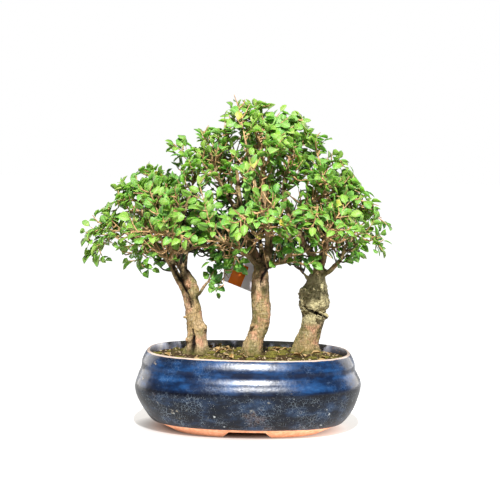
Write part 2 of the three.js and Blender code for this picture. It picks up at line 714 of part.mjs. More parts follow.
// The line of a leaf or shoot in space
function lineOfPart(part, place, lean = 0) {
  const [ax, ay] = part.start;
  const [bx, by] = onStem(part, part.length, 0);
  const rise = part.width ? part.rise * part.length : (part.lean ?? 0) * part.length;
  return [place(ax, ay, lean), place(bx, by, lean + rise)];
}

// Takes off the plan what has no room: shoots, then leaves
function prune(spray, plan, place, woods, taken) {
  const others = taken.filter((each) => each.spray !== spray);
  plan.growth = plan.growth.filter((part) => {
    if (part.width) return true;
    const line = lineOfPart(part, place);
    const clear = others.every((each) => lineGap(line, each.line) > ROOM.shoots);
    return clear && offWood(line, ROOM.shootToWood, woods);
  });
  for (const shoot of plan.growth.filter((part) => !part.width)) {
    taken.push({ spray, line: lineOfPart(shoot, place) });
  }
}

// True where a line keeps that much room off every limb and trunk
function offWood(line, room, woods) {
  const clipped = [line[0].clone().lerp(line[1], 0.2), line[1]];
  return woods.every((each) => lineGap(clipped, each.line) > each.from + room);
}

// True where a leaf is nearer its own spray's stems than any other's
function inOwnSpace(line, width, own, others) {
  return [0.3, 0.65, 1].every((t) => {
    const point = line[0].clone().lerp(line[1], t);
    const home = Math.min(...own.map((each) => toLine(point, each)));
    const room = t < 1 ? ROOM.ownSpace * width + ROOM.ownSpaceMore : ROOM.ownSpaceTip;
    return others.every((each) => toLine(point, each) - home > room);
  });
}

// Leaves that have room in their own spray's space and beside the leaves before them, and that cross
// no side of the fan's outline
function keepLeaves(spray, plan, place, woods, taken) {
  const own = taken.filter((each) => each.spray === spray).map((each) => each.line);
  const others = taken.filter((each) => each.spray !== spray).map((each) => each.line);
  const kept = [];
  const fits = (part, lean) => {
    const line = lineOfPart(part, place, lean);
    const blade = [line[0].clone().lerp(line[1], 0.25), line[1]];
    const free = inOwnSpace(line, part.width, own, others)
      && offWood(line, part.width / 2 + ROOM.leafToWood, woods)
      && kept.every((other) => lineGap(blade, other) > ROOM.leaves * part.width)
      && isSimple(stemOutline(plan));
    if (free) kept.push(blade);
    return free;
  };
  const shoots = plan.growth.filter((part) => !part.width);
  const bearers = [...shoots, plan].map((bearer) => {
    return { bearer, leaves: bearer.growth.filter((part) => part.width) };
  });
  plan.growth = shoots;
  for (const shoot of shoots) shoot.growth = [];
  for (const { bearer, leaves } of bearers) {
    for (const leaf of leaves) {
      bearer.growth.push(leaf);
      if (!fits(leaf, (bearer.lean ?? 0) * leaf.along)) bearer.growth.pop();
    }
  }
}

// True where no two sides of a closed outline cross
function isSimple(points) {
  const turn = (a, b, c) => (b.x - a.x) * (c.y - a.y) - (b.y - a.y) * (c.x - a.x);
  const parted = (a, b, c, d) => turn(a, b, c) * turn(a, b, d) < 0;
  const sides = points.map((point, i) => [point, points[(i + 1) % points.length]]);
  return sides.every(([a, b], i) => {
    return sides.slice(i + 1).every(([c, d]) => !(parted(a, b, c, d) && parted(c, d, a, b)));
  });
}

// The spray as one thin arched body, cut to the outline of its stems and leaves
function sprayBody(plan, place) {
  const points = stemOutline(plan);
  const outline = new THREE.Shape(points.map(({ x, y }) => new THREE.Vector2(x, y)));
  const sheet = welded(new THREE.ExtrudeGeometry(outline, { depth: 1, bevelEnabled: false }));
  return solid(reshaped(sheet, (corner) => {
    const near = (point) => (point.x - corner.x) ** 2 + (point.y - corner.y) ** 2;
    const { x, y, lift, half } = points.reduce((best, point) => (near(point) < near(best) ? point : best));
    return place(x, y, lift + (2 * corner.z - 1) * half);
  }));
}

// The least distance from a point to a line of points
function toLine(point, line) {
  let least = Infinity;
  const near = new THREE.Vector3();
  for (let i = 0; i + 1 < line.length; i += 1) {
    new THREE.Line3(line[i], line[i + 1]).closestPointToPoint(point, true, near);
    least = Math.min(least, near.distanceTo(point));
  }
  return least;
}

// The least distance between two lines of points, looked for at steps along the first
function lineGap(line, other) {
  let least = Infinity;
  for (let i = 0; i + 1 < line.length; i += 1) {
    for (let t = 0; t <= 1; t += 0.125) {
      least = Math.min(least, toLine(line[i].clone().lerp(line[i + 1], t), other));
    }
  }
  return least;
}

// Hang tag and tie

function tagCard() {
  const { width, height, thickness, tilt, hole, holeIn } = TAG;
  const outline = new THREE.Shape([
    new THREE.Vector2(-holeIn, holeIn - height),
    new THREE.Vector2(width - holeIn, holeIn - height),
    new THREE.Vector2(width - holeIn, holeIn),
    new THREE.Vector2(-holeIn, holeIn),
  ]);
  const opening = new THREE.Path();
  opening.absarc(0, 0, hole, 0, 2 * Math.PI, true);
  outline.holes.push(opening);
  const settings = { depth: thickness, bevelEnabled: false, curveSegments: 8 };
  const card = new THREE.ExtrudeGeometry(outline, settings);
  card.translate(0, 0, -thickness / 2);
  card.rotateZ(THREE.MathUtils.degToRad(-tilt));
  card.rotateX(Math.PI / 2);
  card.translate(TIE.x, TIE.y, tieBottom() + TIE.radius + GAP - hole);
  return solid(card);
}

function tieBottom() {
  return TIE.limbTop + GAP + TIE.radius - 2 * TIE.halfHeight;
}

function tie() {
  const middle = tieBottom() + TIE.halfHeight;
  const points = [];
  for (let i = 0; i < TIE.steps; i += 1) {
    const angle = (2 * Math.PI * i) / TIE.steps;
    points.push(new THREE.Vector3(
      TIE.x,
      TIE.y + TIE.halfWidth * Math.sin(angle),
      middle + TIE.halfHeight * Math.cos(angle),
    ));
  }
  const loop = new THREE.CatmullRomCurve3(points, true);
  const section = new THREE.Shape();
  section.absarc(0, 0, TIE.radius, 0, 2 * Math.PI);
  const settings = { steps: TIE.steps, extrudePath: loop, curveSegments: 2 };
  const wire = new THREE.ExtrudeGeometry(section, settings);
  const body = solid(wire);
  return body.volume() < 0 ? solid(flipped(wire)) : body;
}

// The whole group

function foliage(trees) {
  const trunks = trees.map(({ tree }) => {
    return { line: tree.trunk.map(vector), from: tree.burl ? ROOM.burledTrunk : ROOM.trunk };
  });
  const woods = [...trees.flatMap(({ limbs }) => limbs), ...trunks];
  const sprays = trees.flatMap((grown) => grown.sprays);
  const taken = sprays.map((spray) => ({ spray, line: spray.axis }));
  const plans = sprays.map((spray) => {
    const length = spray.axis[0].distanceTo(spray.axis[3]);
    const place = fanPlacer(spray, length);
    const plan = fanPlan(spray, length);
    prune(spray, plan, place, woods, taken);
    return { spray, plan, place };
  });
  for (const { spray, plan, place } of plans) keepLeaves(spray, plan, place, woods, taken);
  return plans.map(({ spray, plan, place }) => named(spray.name, sprayBody(plan, place), COLOURS.leaf));
}

function forest() {
  const group = new THREE.Group();
  group.add(named("pot", pot(), COLOURS.glaze));
  group.add(named("soil", soil(), COLOURS.soil));
  group.add(named("drain_screen_left", screen(-DRAIN_X), COLOURS.screen));
  group.add(named("drain_screen_right", screen(DRAIN_X), COLOURS.screen));
  group.add(named("hang_tag", tagCard(), COLOURS.card));
  group.add(named("tag_tie", tie(), COLOURS.tie));
  const trees = grow();
  for (const { name, tree, limbs } of trees) {
    group.add(named(`${name}_tree`, wood(tree, limbs), COLOURS.bark));
  }
  group.add(...foliage(trees));
  return group;
}

const model = forest();
const outline = new THREE.Box3().setFromObject(model);
const middle = outline.getCenter(new THREE.Vector3());
model.position.set(-middle.x, -middle.y, 0);
model.updateMatrixWorld(true);

export default model;
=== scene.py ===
# Three Chinese elms in a glazed oval pot: the finished surfaces, the full foliage and the studio.
# The trees grow here by the rule that shaped their solids, in millimetres about the pot's middle, so
# every finer twig and leaf goes where its solid is. A finished mesh is moved to the frame in metres.
import math
from types import SimpleNamespace

import bmesh
import bpy
import numpy as np
from mathutils import Matrix, Vector, noise


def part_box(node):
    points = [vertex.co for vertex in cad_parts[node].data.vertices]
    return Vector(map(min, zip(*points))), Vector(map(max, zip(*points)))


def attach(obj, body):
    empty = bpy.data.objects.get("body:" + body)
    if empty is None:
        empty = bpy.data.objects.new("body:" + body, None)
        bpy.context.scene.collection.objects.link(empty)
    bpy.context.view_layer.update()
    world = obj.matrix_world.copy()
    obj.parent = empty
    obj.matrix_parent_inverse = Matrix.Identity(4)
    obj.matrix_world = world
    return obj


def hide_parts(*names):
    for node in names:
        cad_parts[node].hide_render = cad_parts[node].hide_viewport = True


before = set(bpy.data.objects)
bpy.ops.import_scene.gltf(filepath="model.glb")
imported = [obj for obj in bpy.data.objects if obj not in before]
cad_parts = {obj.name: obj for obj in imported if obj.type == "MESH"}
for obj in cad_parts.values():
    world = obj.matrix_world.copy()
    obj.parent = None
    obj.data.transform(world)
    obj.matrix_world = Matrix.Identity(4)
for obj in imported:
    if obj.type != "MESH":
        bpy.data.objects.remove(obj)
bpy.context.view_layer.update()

POT_LOW, POT_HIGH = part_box("pot")
POT_MIDDLE = Vector(((POT_LOW.x + POT_HIGH.x) / 2, (POT_LOW.y + POT_HIGH.y) / 2, 0))
TO_FRAME = Matrix.Translation(POT_MIDDLE) @ Matrix.Scale(0.001, 4)

# The pot: half length, half width, height, and its wall's rings as height, inset and share of the
# ridge's lean. The foot's ring is drawn in more at the ends than at the sides.
OVAL_POWER = 2.5
POT_HALF_LENGTH = 130
POT_HALF_WIDTH = 99
POT_HEIGHT = 89.5
FLOOR_TOP = 16
FLOOR_UNDERSIDE = 7.5
RIDGE_LEAN = 0.027
FOOT_INSET = (44, 34)
FOOT_RING_WIDTH = 12
OUTER_WALL = [
    (9.5, 24, 0), (11, 19.5, 0), (26, 8.2, 0), (41, 1.9, 0.7), (47, 0.5, 0.9), (51, 0, 1),
    (53.2, 0.3, 1), (56, 0.9, 0.9), (59, 2.1, 0.7), (61.5, 3.2, 0.55), (64, 4.1, 0.4), (67, 5.6, 0.25),
    (70, 6.8, 0.1), (73, 7.2, 0), (76, 7.4, 0), (79, 8, 0), (81.5, 9, 0), (84.5, 10.45, 0),
    (87.6, 12.3, 0), (POT_HEIGHT, 14.4, 0),
]
INNER_WALL = [
    (POT_HEIGHT, 16.2, 0), (88.4, 17, 0), (82, 16.4, 0), (50, 8.5, 0), (26, 16.5, 0),
    (FLOOR_TOP, 29, 0),
]
FOOT_CUT = {"height": 6.8, "front": 55, "end": 44, "slant": 7}
DRAIN_RADIUS = 8
DRAIN_X = 48

# How high the soil comes up at its edge, and how far its middle crowns above that
SOIL_EDGE_Z = 82
SOIL_CROWN = 5.2

# The trees, as in their solids: a trunk's centres and radii, root flares as degrees and swell, limbs
# with the radii that they start and end with, and where the ends of the leafy sprays come to
TRUNK_FOOT_Z = 68
TREES = {
    "left": {
        "trunk": [
            (-60, 0, TRUNK_FOOT_Z, 15), (-60, 0, 89, 13.8), (-60, 0, 99, 12.4), (-60, 0, 110, 11.6),
            (-63, 0, 124, 10), (-66, 0, 141, 9.2), (-68, 0, 151, 9), (-70, 1, 158, 7),
        ],
        "flares": [(185, 3.5), (-8, 4), (250, 2.5), (80, 3)],
        "limbs": [
            (5.4, 1.7, [(-69, -1, 143), (-75, -2, 158), (-83, -4, 172), (-93, -6, 191),
                        (-104, -8, 202), (-122, -11, 215), (-146, -12, 224)]),
            (6.2, 1.7, [(-65, 1, 146), (-63, 2, 155), (-67, 3, 166), (-74, 5, 176),
                        (-86, 8, 193), (-96, 12, 216), (-103, 14, 242), (-107, 14, 270)]),
            (2.8, 1.5, [(-62, -1, 148), (-57, -5, 156), (-51, -9, 165), (-48, -12, 169)]),
            (3.4, 1.4, [(-88, 8, 198), (-77, 5, 203), (-66, 2, 207), (-52, -8, 211),
                        (-36, -16, 208)]),
            (3.2, 1.4, [(-76, 5, 179), (-75, 28, 200), (-74, 54, 220), (-80, 72, 232)]),
            (3.2, 1.4, [(-90, -5, 186), (-89, -28, 203), (-90, -52, 218), (-92, -66, 226)]),
            (3, 1.4, [(-104, -8, 202), (-116, -4, 222), (-124, 4, 244), (-130, 8, 262)]),
            (3.2, 1.4, [(-93, 10, 208), (-84, 2, 230), (-74, -2, 256), (-66, 0, 288)]),
        ],
        "tips": [
            (-193, -8, 210), (-180, 14, 237), (-158, -22, 258), (-154, 16, 280), (-122, 2, 297),
            (-102, 10, 332), (-184, 24, 187), (-128, -22, 186), (-104, 34, 190), (-30, -28, 162),
            (-142, -64, 228), (-98, -88, 236), (-116, -54, 282), (-140, 68, 230), (-90, 98, 238),
            (-108, 60, 292), (-60, -92, 218),
        ],
    },
    "middle": {
        "trunk": [
            (4, -8, TRUNK_FOOT_Z, 14.5), (4, -8, 89, 12.4), (6, -8, 99, 10.8), (10, -7, 111, 10.4),
            (14, -6, 129, 11.6), (13, -5, 147, 10.8), (12, -4, 164, 10.6), (13, -3, 180, 8.8),
            (14, -2, 190, 6),
        ],
        "flares": [(190, 2.5), (300, 2), (60, 2.5)],
        "limbs": [
            (6, 1.7, [(12, -3, 178), (5, -2, 200), (-5, 1, 221), (-12, 4, 248), (-16, 4, 280),
                      (-20, 2, 312)]),
            (6, 1.7, [(14, -3, 180), (21, 0, 208), (20, -3, 240), (14, -5, 272), (12, -6, 304),
                      (6, -6, 332)]),
            (4, 1.6, [(14, -4, 176), (18, -10, 185), (28, -14, 191), (42, -21, 194)]),
            (3.4, 1.4, [(12, -4, 184), (-3, -18, 200), (-18, -34, 212), (-34, -52, 220)]),
            (3.4, 1.4, [(13, -2, 184), (12, 20, 206), (9, 48, 224), (7, 72, 236)]),
            (3.2, 1.4, [(20, -3, 203), (18, -28, 224), (16, -54, 240), (14, -70, 250)]),
            (3.2, 1.5, [(10, -2, 186), (0, 9, 198), (-14, 14, 206), (-32, 22, 214),
                        (-46, 44, 222)]),
            (3, 1.4, [(-11, 4, 244), (-26, 2, 264), (-40, 0, 290), (-46, 2, 310)]),
        ],
        "tips": [
            (-60, 4, 348), (-20, -4, 380), (19, 2, 375), (-22, -34, 176), (66, -46, 192),
            (-60, -70, 290), (-22, -104, 238), (-12, -84, 304), (28, -102, 254), (30, -64, 330),
            (-48, 102, 232), (-46, 72, 308), (8, 110, 248), (12, 72, 332), (-34, -34, 346),
            (2, 34, 364), (26, 62, 284),
        ],
    },
    "right": {
        "trunk": [
            (67, 30, TRUNK_FOOT_Z, 17.5), (67, 30, 89, 16), (69, 29, 99, 13.6), (72, 28, 110, 13),
            (75, 26, 126, 13.2), (75, 25, 139, 14.2), (75, 24, 153, 14.4), (77, 23, 162, 13.2),
            (79, 21, 175, 10), (82, 20, 186, 7),
        ],
        "flares": [(200, 4), (-20, 3.5), (275, 3), (100, 3)],
        "limbs": [
            (5.4, 3.6, [(79, 21, 176), (76, 17, 192), (68, 14, 204), (60, 12, 214), (57, 10, 224),
                        (47, 8, 241), (43, 6, 247)]),
            (3.8, 1.6, [(44, 6, 246), (52, 2, 250), (61, -2, 257), (72, -6, 264), (86, -10, 276)]),
            (3.8, 1.6, [(44, 7, 245), (38, 6, 264), (38, 2, 290), (44, -2, 318)]),
            (3.4, 1.5, [(84, 20, 176), (90, 17, 180), (97, 14, 187), (104, 10, 195),
                        (110, 4, 213), (124, 2, 226)]),
            (5.6, 1.6, [(81, 20, 180), (85, 21, 204), (89, 22, 230), (89, 20, 258), (84, 14, 292)]),
            (3.4, 1.4, [(84, 21, 186), (86, 42, 206), (86, 64, 222), (84, 80, 232)]),
            (3.4, 1.4, [(84, 20, 188), (86, -2, 206), (86, -28, 222), (84, -54, 232)]),
            (3, 1.4, [(89, 22, 226), (104, 22, 244), (118, 20, 258), (124, 16, 268)]),
            (2, 1.2, [(72, 24, 168), (62, 14, 178), (54, 10, 188), (46, 2, 197)]),
        ],
        "tips": [
            (51, -6, 365), (79, 6, 330), (107, -12, 312), (138, 8, 272), (153, -6, 257),
            (168, 4, 227), (155, -10, 202), (128, 24, 206), (66, -92, 234), (74, -64, 294),
            (112, -66, 234), (116, -44, 272), (60, 104, 238), (64, 74, 298), (114, 78, 240),
            (110, 52, 288), (62, 42, 342),
        ],
    },
}
BURL = {"centre": (74.8, 22, 147.5), "size": (17.6, 16, 16.5), "tilt": 0.2, "power": 2.7}
# The join of the left tree's two stems and the cleft in its foot, the scar at the top of the middle
# trunk and the fold under the burl: places in the front view with half the width there, and a depth
CLEFTS = {
    "left": [
        ([(-86, 185, 5), (-80, 173, 4), (-74, 161, 2), (-69, 150, 1.2), (-67, 139, 0.8)], 2.6),
        ([(-65, 113, 0.9), (-63, 105, 1.7), (-64, 98, 3), (-65, 86, 5.5)], 5),
    ],
    "middle": [([(12, 165, 0.8), (13, 174, 1.8), (18, 182, 3.4), (19, 190, 4.5)], 2.4)],
    "right": [([(62, 139.5, 1), (68, 136, 1.5), (78, 132, 1.9), (92, 125.5, 2.4)], 3.2)],
}
KNOBS = {
    "left": [(-51.5, -7, 116, 3.6), (-74.5, -6, 127, 2.4), (-70, -9, 101, 3)],
    "middle": [(3, -18, 120, 2.5)],
    "right": [(88, 12, 129, 4.4), (80, 9, 128, 3.4), (62, 12, 158, 5)],
}
# Painted shade round the fork where a trunk parts into limbs, under the crown: how far above the trunk's end,
# and how far it reaches
FORK_SHADE = {
    "left": {"above": 26, "radius": 16}, "middle": {"above": 12, "radius": 26},
    "right": {"above": 13, "radius": 17},
}
# Behind the join of the left tree's stems the wood has closed up
STEM_WEB = [(-66, 1, 144, 5), (-69, 2, 156, 4.4), (-74, 2, 167, 3.6), (-81, 3, 177, 2.6)]

# The growth rule, as in the solids
LIMB_BUDS = {"first": 0.35, "spacing": 12}
BRANCH_BUDS = {"first": 0.5, "spacing": 14}
BUD_COST = {"turn": 0.45, "used": 14, "cramped": 60, "too_near": 28}
TWIG_RADIUS = 1.1
BRANCH = {"radius": 1.6, "long_radius": 1.9, "long_from": 105, "bend": 0.34, "sink": 1.5, "gap": 0.75}
SPRAY_LENGTH = 62
STUB_LENGTH = 7
AXIS_ROOM = 2.5
SEEDS = {"left": 100, "middle": 200, "right": 300}
LEAF = {
    "length": 13.5, "width": 7.6, "half": 0.65, "size": (0.88, 1.14), "open": (0.78, 1.05),
    "end_open": (-0.12, 0.12), "rise": (-0.4, 0.3), "roll": (-0.55, 0.55), "droop": (0.5, 2),
}
FAN = {
    "stem_half": 0.85, "shoot_half": 0.6, "shift": (0.93, 1.07), "leaf_shift": (0.96, 1.04),
    "angle": (0.72, 0.92), "reach": (0.85, 1.1), "lean": (-0.25, 0.3), "shoot_leaf": (0.4, 0.55),
    "outward": 0.75, "upward": 0.7,
}
CROWN_HEART = np.array((-8.0, 0, 190))
ROOM = {
    "shoot_to_wood": 2.6, "shoots": 5, "leaf_to_wood": 0.6, "leaves": 0.8, "own_space": 0.45,
    "own_space_more": 0.6, "own_space_tip": 1, "trunk": 12, "burled_trunk": 17,
}
SHOOTS = [(0.18, 1, 0.34), (0.46, -1, 0.27), (0.72, 1, 0.2)]
LEAVES = [(0.3, -1), (0.5, 1), (0.7, -1), (0.88, 1)]
LEAF_OUTLINE = [(0.34, 1), (0.74, 0.72), (1, 0)]

MASK = 0xFFFFFFFF


# Seeded draws and small sums

def draws(seed):
    """A function that gives the next number from 0 to 1 of the seed's own row."""
    state = seed & MASK

    def draw():
        nonlocal state
        state = (state + 0x6D2B79F5) & MASK
        mixed = ((state ^ (state >> 15)) * (state | 1)) & MASK
        mixed ^= (mixed + (mixed ^ (mixed >> 7)) * (mixed | 61)) & MASK
        return ((mixed ^ (mixed >> 14)) & MASK) / (MASK + 1)

    return draw


def mix(low, high, part):
    return low + (high - low) * part


def between(limits, draw):
    return mix(limits[0], limits[1], draw())


def share_of_way(value, start, end):
    """How far a value has come on the way from start to end, from 0 to 1."""
    return min(1.0, max(0.0, (value - start) / (end - start)))


def pick(choices, draw):
    return choices[math.floor(draw() * len(choices))]


def unit(way):
    return way / np.linalg.norm(way)


# Lines in space

class Line:
    """A smooth line through points, or with bent=True one bend from the first to the last of three."""

    def __init__(self, points, bent=False):
        self.points = np.array(points, float)
        self.bent = bent
        self.parts = np.linspace(0, 1, 201)
        steps = np.linalg.norm(np.diff(self.through(self.parts), axis=0), axis=1)
        self.lengths = np.concatenate([[0], np.cumsum(steps)])
        self.length = self.lengths[-1]

    def through(self, part):
        part = np.atleast_1d(np.clip(part, 0, 1))[:, None]
        if self.bent:
            first, middle, last = self.points
            return (1 - part) ** 2 * first + 2 * (1 - part) * part * middle + part**2 * last
        points = self.points
        padded = np.vstack([2 * points[0] - points[1], points, 2 * points[-1] - points[-2]])
        along = part[:, 0] * (len(points) - 1)
        start = np.minimum(along.astype(int), len(points) - 2)
        weight = (along - start)[:, None]
        a, b, c, d = (padded[start + k] for k in range(4))
        ab, bc, cd = (np.sqrt(np.linalg.norm(q - p, axis=1))[:, None] for p, q in ((a, b), (b, c), (c, d)))
        leave = ((b - a) / ab - (c - a) / (ab + bc) + (c - b) / bc) * bc
        arrive = ((c - b) / bc - (d - b) / (bc + cd) + (d - c) / cd) * bc
        return (b + leave * weight + (3 * (c - b) - 2 * leave - arrive) * weight**2
                + (2 * (b - c) + leave + arrive) * weight**3)

    def part_at(self, along):
        return np.interp(np.asarray(along, float) * self.length, self.lengths, self.parts)

    def at(self, along):
        """The places at shares of the line's length."""
        return self.through(self.part_at(along))

    def spaced(self, steps):
        return self.at(np.linspace(0, 1, steps + 1))

    def heading(self, along):
        part = float(self.part_at(along))
        ends = self.through(np.array([max(0, part - 1e-4), min(1, part + 1e-4)]))
        return unit(ends[1] - ends[0])


def to_stretches(places, starts, ways):
    """The distance of each place from each straight stretch."""
    off = places[:, None] - starts
    part = np.clip((off * ways).sum(-1) / (ways**2).sum(-1), 0, 1)
    return np.linalg.norm(off - part[..., None] * ways, axis=-1)


def steps_along(line):
    """Nine places on each stretch of a line of points."""
    parts = np.linspace(0, 1, 9)[:, None]
    return np.vstack([mix(start, end, parts) for start, end in zip(line[:-1], line[1:])])


class Crowd:
    """Lines with a radius each, to keep off."""

    def __init__(self, lines, radii):
        self.starts = np.vstack([line[:-1] for line in lines]) if lines else np.zeros((0, 3))
        self.ways = np.vstack([np.diff(line, axis=0) for line in lines]) if lines else self.starts
        self.radii = np.concatenate([[r] * (len(line) - 1) for line, r in zip(lines, radii)] or [[]])

    def room(self, places):
        if len(self.radii) == 0:
            return math.inf
        return (to_stretches(places, self.starts, self.ways) - self.radii).min()

    def room_of_line(self, line):
        return self.room(steps_along(line))


# Growth of limbs, branches and sprays

def buds(carrier, first, spacing):
    """The places on a limb or branch that later growth can start from, on its straight stretches."""
    count = max(2, math.floor(carrier.curve.length / spacing + 0.5))
    found = []
    for i in range(math.ceil(first * count), count + 1):
        along = i / count * (len(carrier.line) - 1)
        stretch = min(math.floor(along), len(carrier.line) - 2)
        start, end = carrier.line[stretch], carrier.line[stretch + 1]
        point = mix(start, end, along - stretch)
        found.append(SimpleNamespace(point=point, heading=unit(end - start), used=0))
    return found


def bud_cost(bud, tip):
    way = tip - bud.point
    distance = np.linalg.norm(way)
    turn = 1 - way @ bud.heading / distance
    cramped = BUD_COST["cramped"] if distance < BUD_COST["too_near"] else 0
    return distance * (1 + BUD_COST["turn"] * turn) + BUD_COST["used"] * bud.used + cramped


def shoot_from(bud, tip):
    """The thin branch from a bud and the spray's own stem beyond it, cut in two by a small gap."""
    bend = bud.point + BRANCH["bend"] * np.linalg.norm(tip - bud.point) * bud.heading
    whole = Line([bud.point, bend, tip], bent=True)
    split = 1 - min(SPRAY_LENGTH, whole.length - STUB_LENGTH - 2) / whole.length
    sunk = bud.point - BRANCH["sink"] * bud.heading
    branch = Line([sunk, *whole.at([0.5 * split, split])])
    start = split + BRANCH["gap"] / whole.length
    axis = whole.at([mix(start, 1, part) for part in (0, 1 / 3, 2 / 3, 1)])
    return SimpleNamespace(branch=branch, axis=axis, long=whole.length > BRANCH["long_from"])


def has_room(shoot, wood, sprays):
    stem = np.vstack([mix(shoot.axis[0], shoot.axis[1], 0.2), shoot.axis[1:]])
    return (
        wood.room_of_line(stem) > AXIS_ROOM
        and sprays.room_of_line(shoot.axis) > 4 * AXIS_ROOM
        and sprays.room_of_line(shoot.branch.spaced(2)) > 2 * AXIS_ROOM
    )


def limb_of(curve, steps, start_radius, end_radius, thin=False):
    line = curve.spaced(steps)
    return SimpleNamespace(curve=curve, line=line, start=start_radius, end=end_radius, thin=thin)


def grow():
    """Every tree's limbs, the thin branches that carry its sprays, and its sprays' stems."""
    trees = []
    for name, tree in TREES.items():
        limbs = [limb_of(Line(path), len(path) - 1, a, b) for a, b, path in tree["limbs"]]
        trees.append(SimpleNamespace(name=name, plan=tree, limbs=limbs, sprays=[]))
    for tree in trees:
        free = [bud for limb in tree.limbs for bud in buds(limb, **LIMB_BUDS)]
        crown = np.array(tree.plan["trunk"][-1][:3], float)
        tips = sorted(map(np.array, tree.plan["tips"]), key=lambda tip: np.linalg.norm(tip - crown))
        for tip in tips:
            limbs = [limb for other in trees for limb in other.limbs]
            wood = Crowd([limb.line for limb in limbs], [limb.start for limb in limbs])
            axes = [spray.axis for other in trees for spray in other.sprays]
            sprays = Crowd(axes, [0] * len(axes))
            ranked = sorted(free, key=lambda bud: bud_cost(bud, tip))
            shoots = ((bud, shoot_from(bud, tip)) for bud in ranked)
            roomy = ((bud, shoot) for bud, shoot in shoots if has_room(shoot, wood, sprays))
            bud, shoot = next(roomy, (ranked[0], shoot_from(ranked[0], tip)))
            bud.used += 1
            radius = BRANCH["long_radius"] if shoot.long else BRANCH["radius"]
            carrier = limb_of(shoot.branch, 2 if shoot.long else 1, radius, TWIG_RADIUS, True)
            tree.limbs.append(carrier)
            free.extend(buds(carrier, **BRANCH_BUDS))
            number = len(tree.sprays) + 1
            tree.sprays.append(SimpleNamespace(
                name=f"{tree.name}_spray_{number:02d}", axis=shoot.axis, carrier=carrier,
                seed=SEEDS[tree.name] + number,
            ))
    return trees


# The flat fan that a spray's stems and leaves are planned in

def stem(start, angle, length, half, **more):
    return SimpleNamespace(start=start, angle=angle, length=length, half=half, growth=[], **more)


def on_stem(part, along, off):
    cosine, sine = math.cos(part.angle), math.sin(part.angle)
    return (part.start[0] + along * cosine - off * sine, part.start[1] + along * sine + off * cosine)


def leaf_on(parent, along, side, draw):
    opened = between(LEAF["end_open"], draw) if side == 0 else side * between(LEAF["open"], draw)
    size = between(LEAF["size"], draw)
    blade = stem(on_stem(parent, along, side * parent.half), parent.angle + opened,
                 LEAF["length"] * size, LEAF["half"], width=LEAF["width"] * size, along=along, lean=0,
                 side=side)
    blade.rise = between(LEAF["rise"], draw)
    blade.roll = between(LEAF["roll"], draw)
    blade.droop = between(LEAF["droop"], draw)
    return blade


def fan_plan(spray, length):
    draw = draws(spray.seed * 1009)
    first = 1 if draw() < 0.5 else -1
    main = stem((0, 0), 0, length - 0.8 * LEAF["length"], FAN["stem_half"], width=0, lean=0, along=0)
    for at, hand, reach in SHOOTS:
        side = first * hand
        along = main.length * at * between(FAN["shift"], draw)
        angle = side * between(FAN["angle"], draw)
        shoot_length = length * reach * between(FAN["reach"], draw)
        shoot = stem(on_stem(main, along, side * main.half), angle, shoot_length, FAN["shoot_half"],
                     width=0, along=along, side=side)
        shoot.lean = between(FAN["lean"], draw)
        shoot.growth.append(leaf_on(shoot, shoot.length * between(FAN["shoot_leaf"], draw), side, draw))
        shoot.growth.append(leaf_on(shoot, shoot.length, 0, draw))
        main.growth.append(shoot)
    for at, hand in LEAVES:
        along = main.length * at * between(FAN["leaf_shift"], draw)
        main.growth.append(leaf_on(main, along, first * hand, draw))
    main.growth.append(leaf_on(main, main.length, 0, draw))
    return main


def fan_frame(axis):
    """The way that the fan runs, the way that its upper face looks, and the way to its left."""
    heading = unit(axis[3] - axis[0])
    facing = FAN["outward"] * unit(axis[3] - CROWN_HEART) + np.array((0, 0, FAN["upward"]))
    facing = unit(facing - (facing @ heading) * heading)
    return heading, facing, np.cross(facing, heading)


def fan_placer(spray):
    """A function that puts a place of the flat fan in space. The fan arches as its stem does."""
    curve = Line(spray.axis)
    start = spray.axis[0]
    heading, facing, side = spray.frame

    def place(x, y, lift):
        arch = (curve.at(min(1, max(0, x / spray.length)))[0] - start) @ facing
        return start + x * heading + y * side + (arch + lift) * facing

    return place


def line_of_part(part, place, lean=0):
    """The line of a leaf or shoot in space."""
    rise = part.rise if part.width else part.lean
    end = on_stem(part, part.length, 0)
    return np.array([place(*part.start, lean), place(*end, lean + rise * part.length)])


def off_wood(line, room, woods):
    return woods.room_of_line(np.array([mix(line[0], line[1], 0.2), line[1]])) > room


def in_own_space(line, width, own, others):
    for part in (0.3, 0.65, 1):
        point = mix(line[0], line[1], part)[None]
        room = ROOM["own_space"] * width + ROOM["own_space_more"] if part < 1 else ROOM["own_space_tip"]
        if others.room(point) - own.room(point) <= room:
            return False
    return True


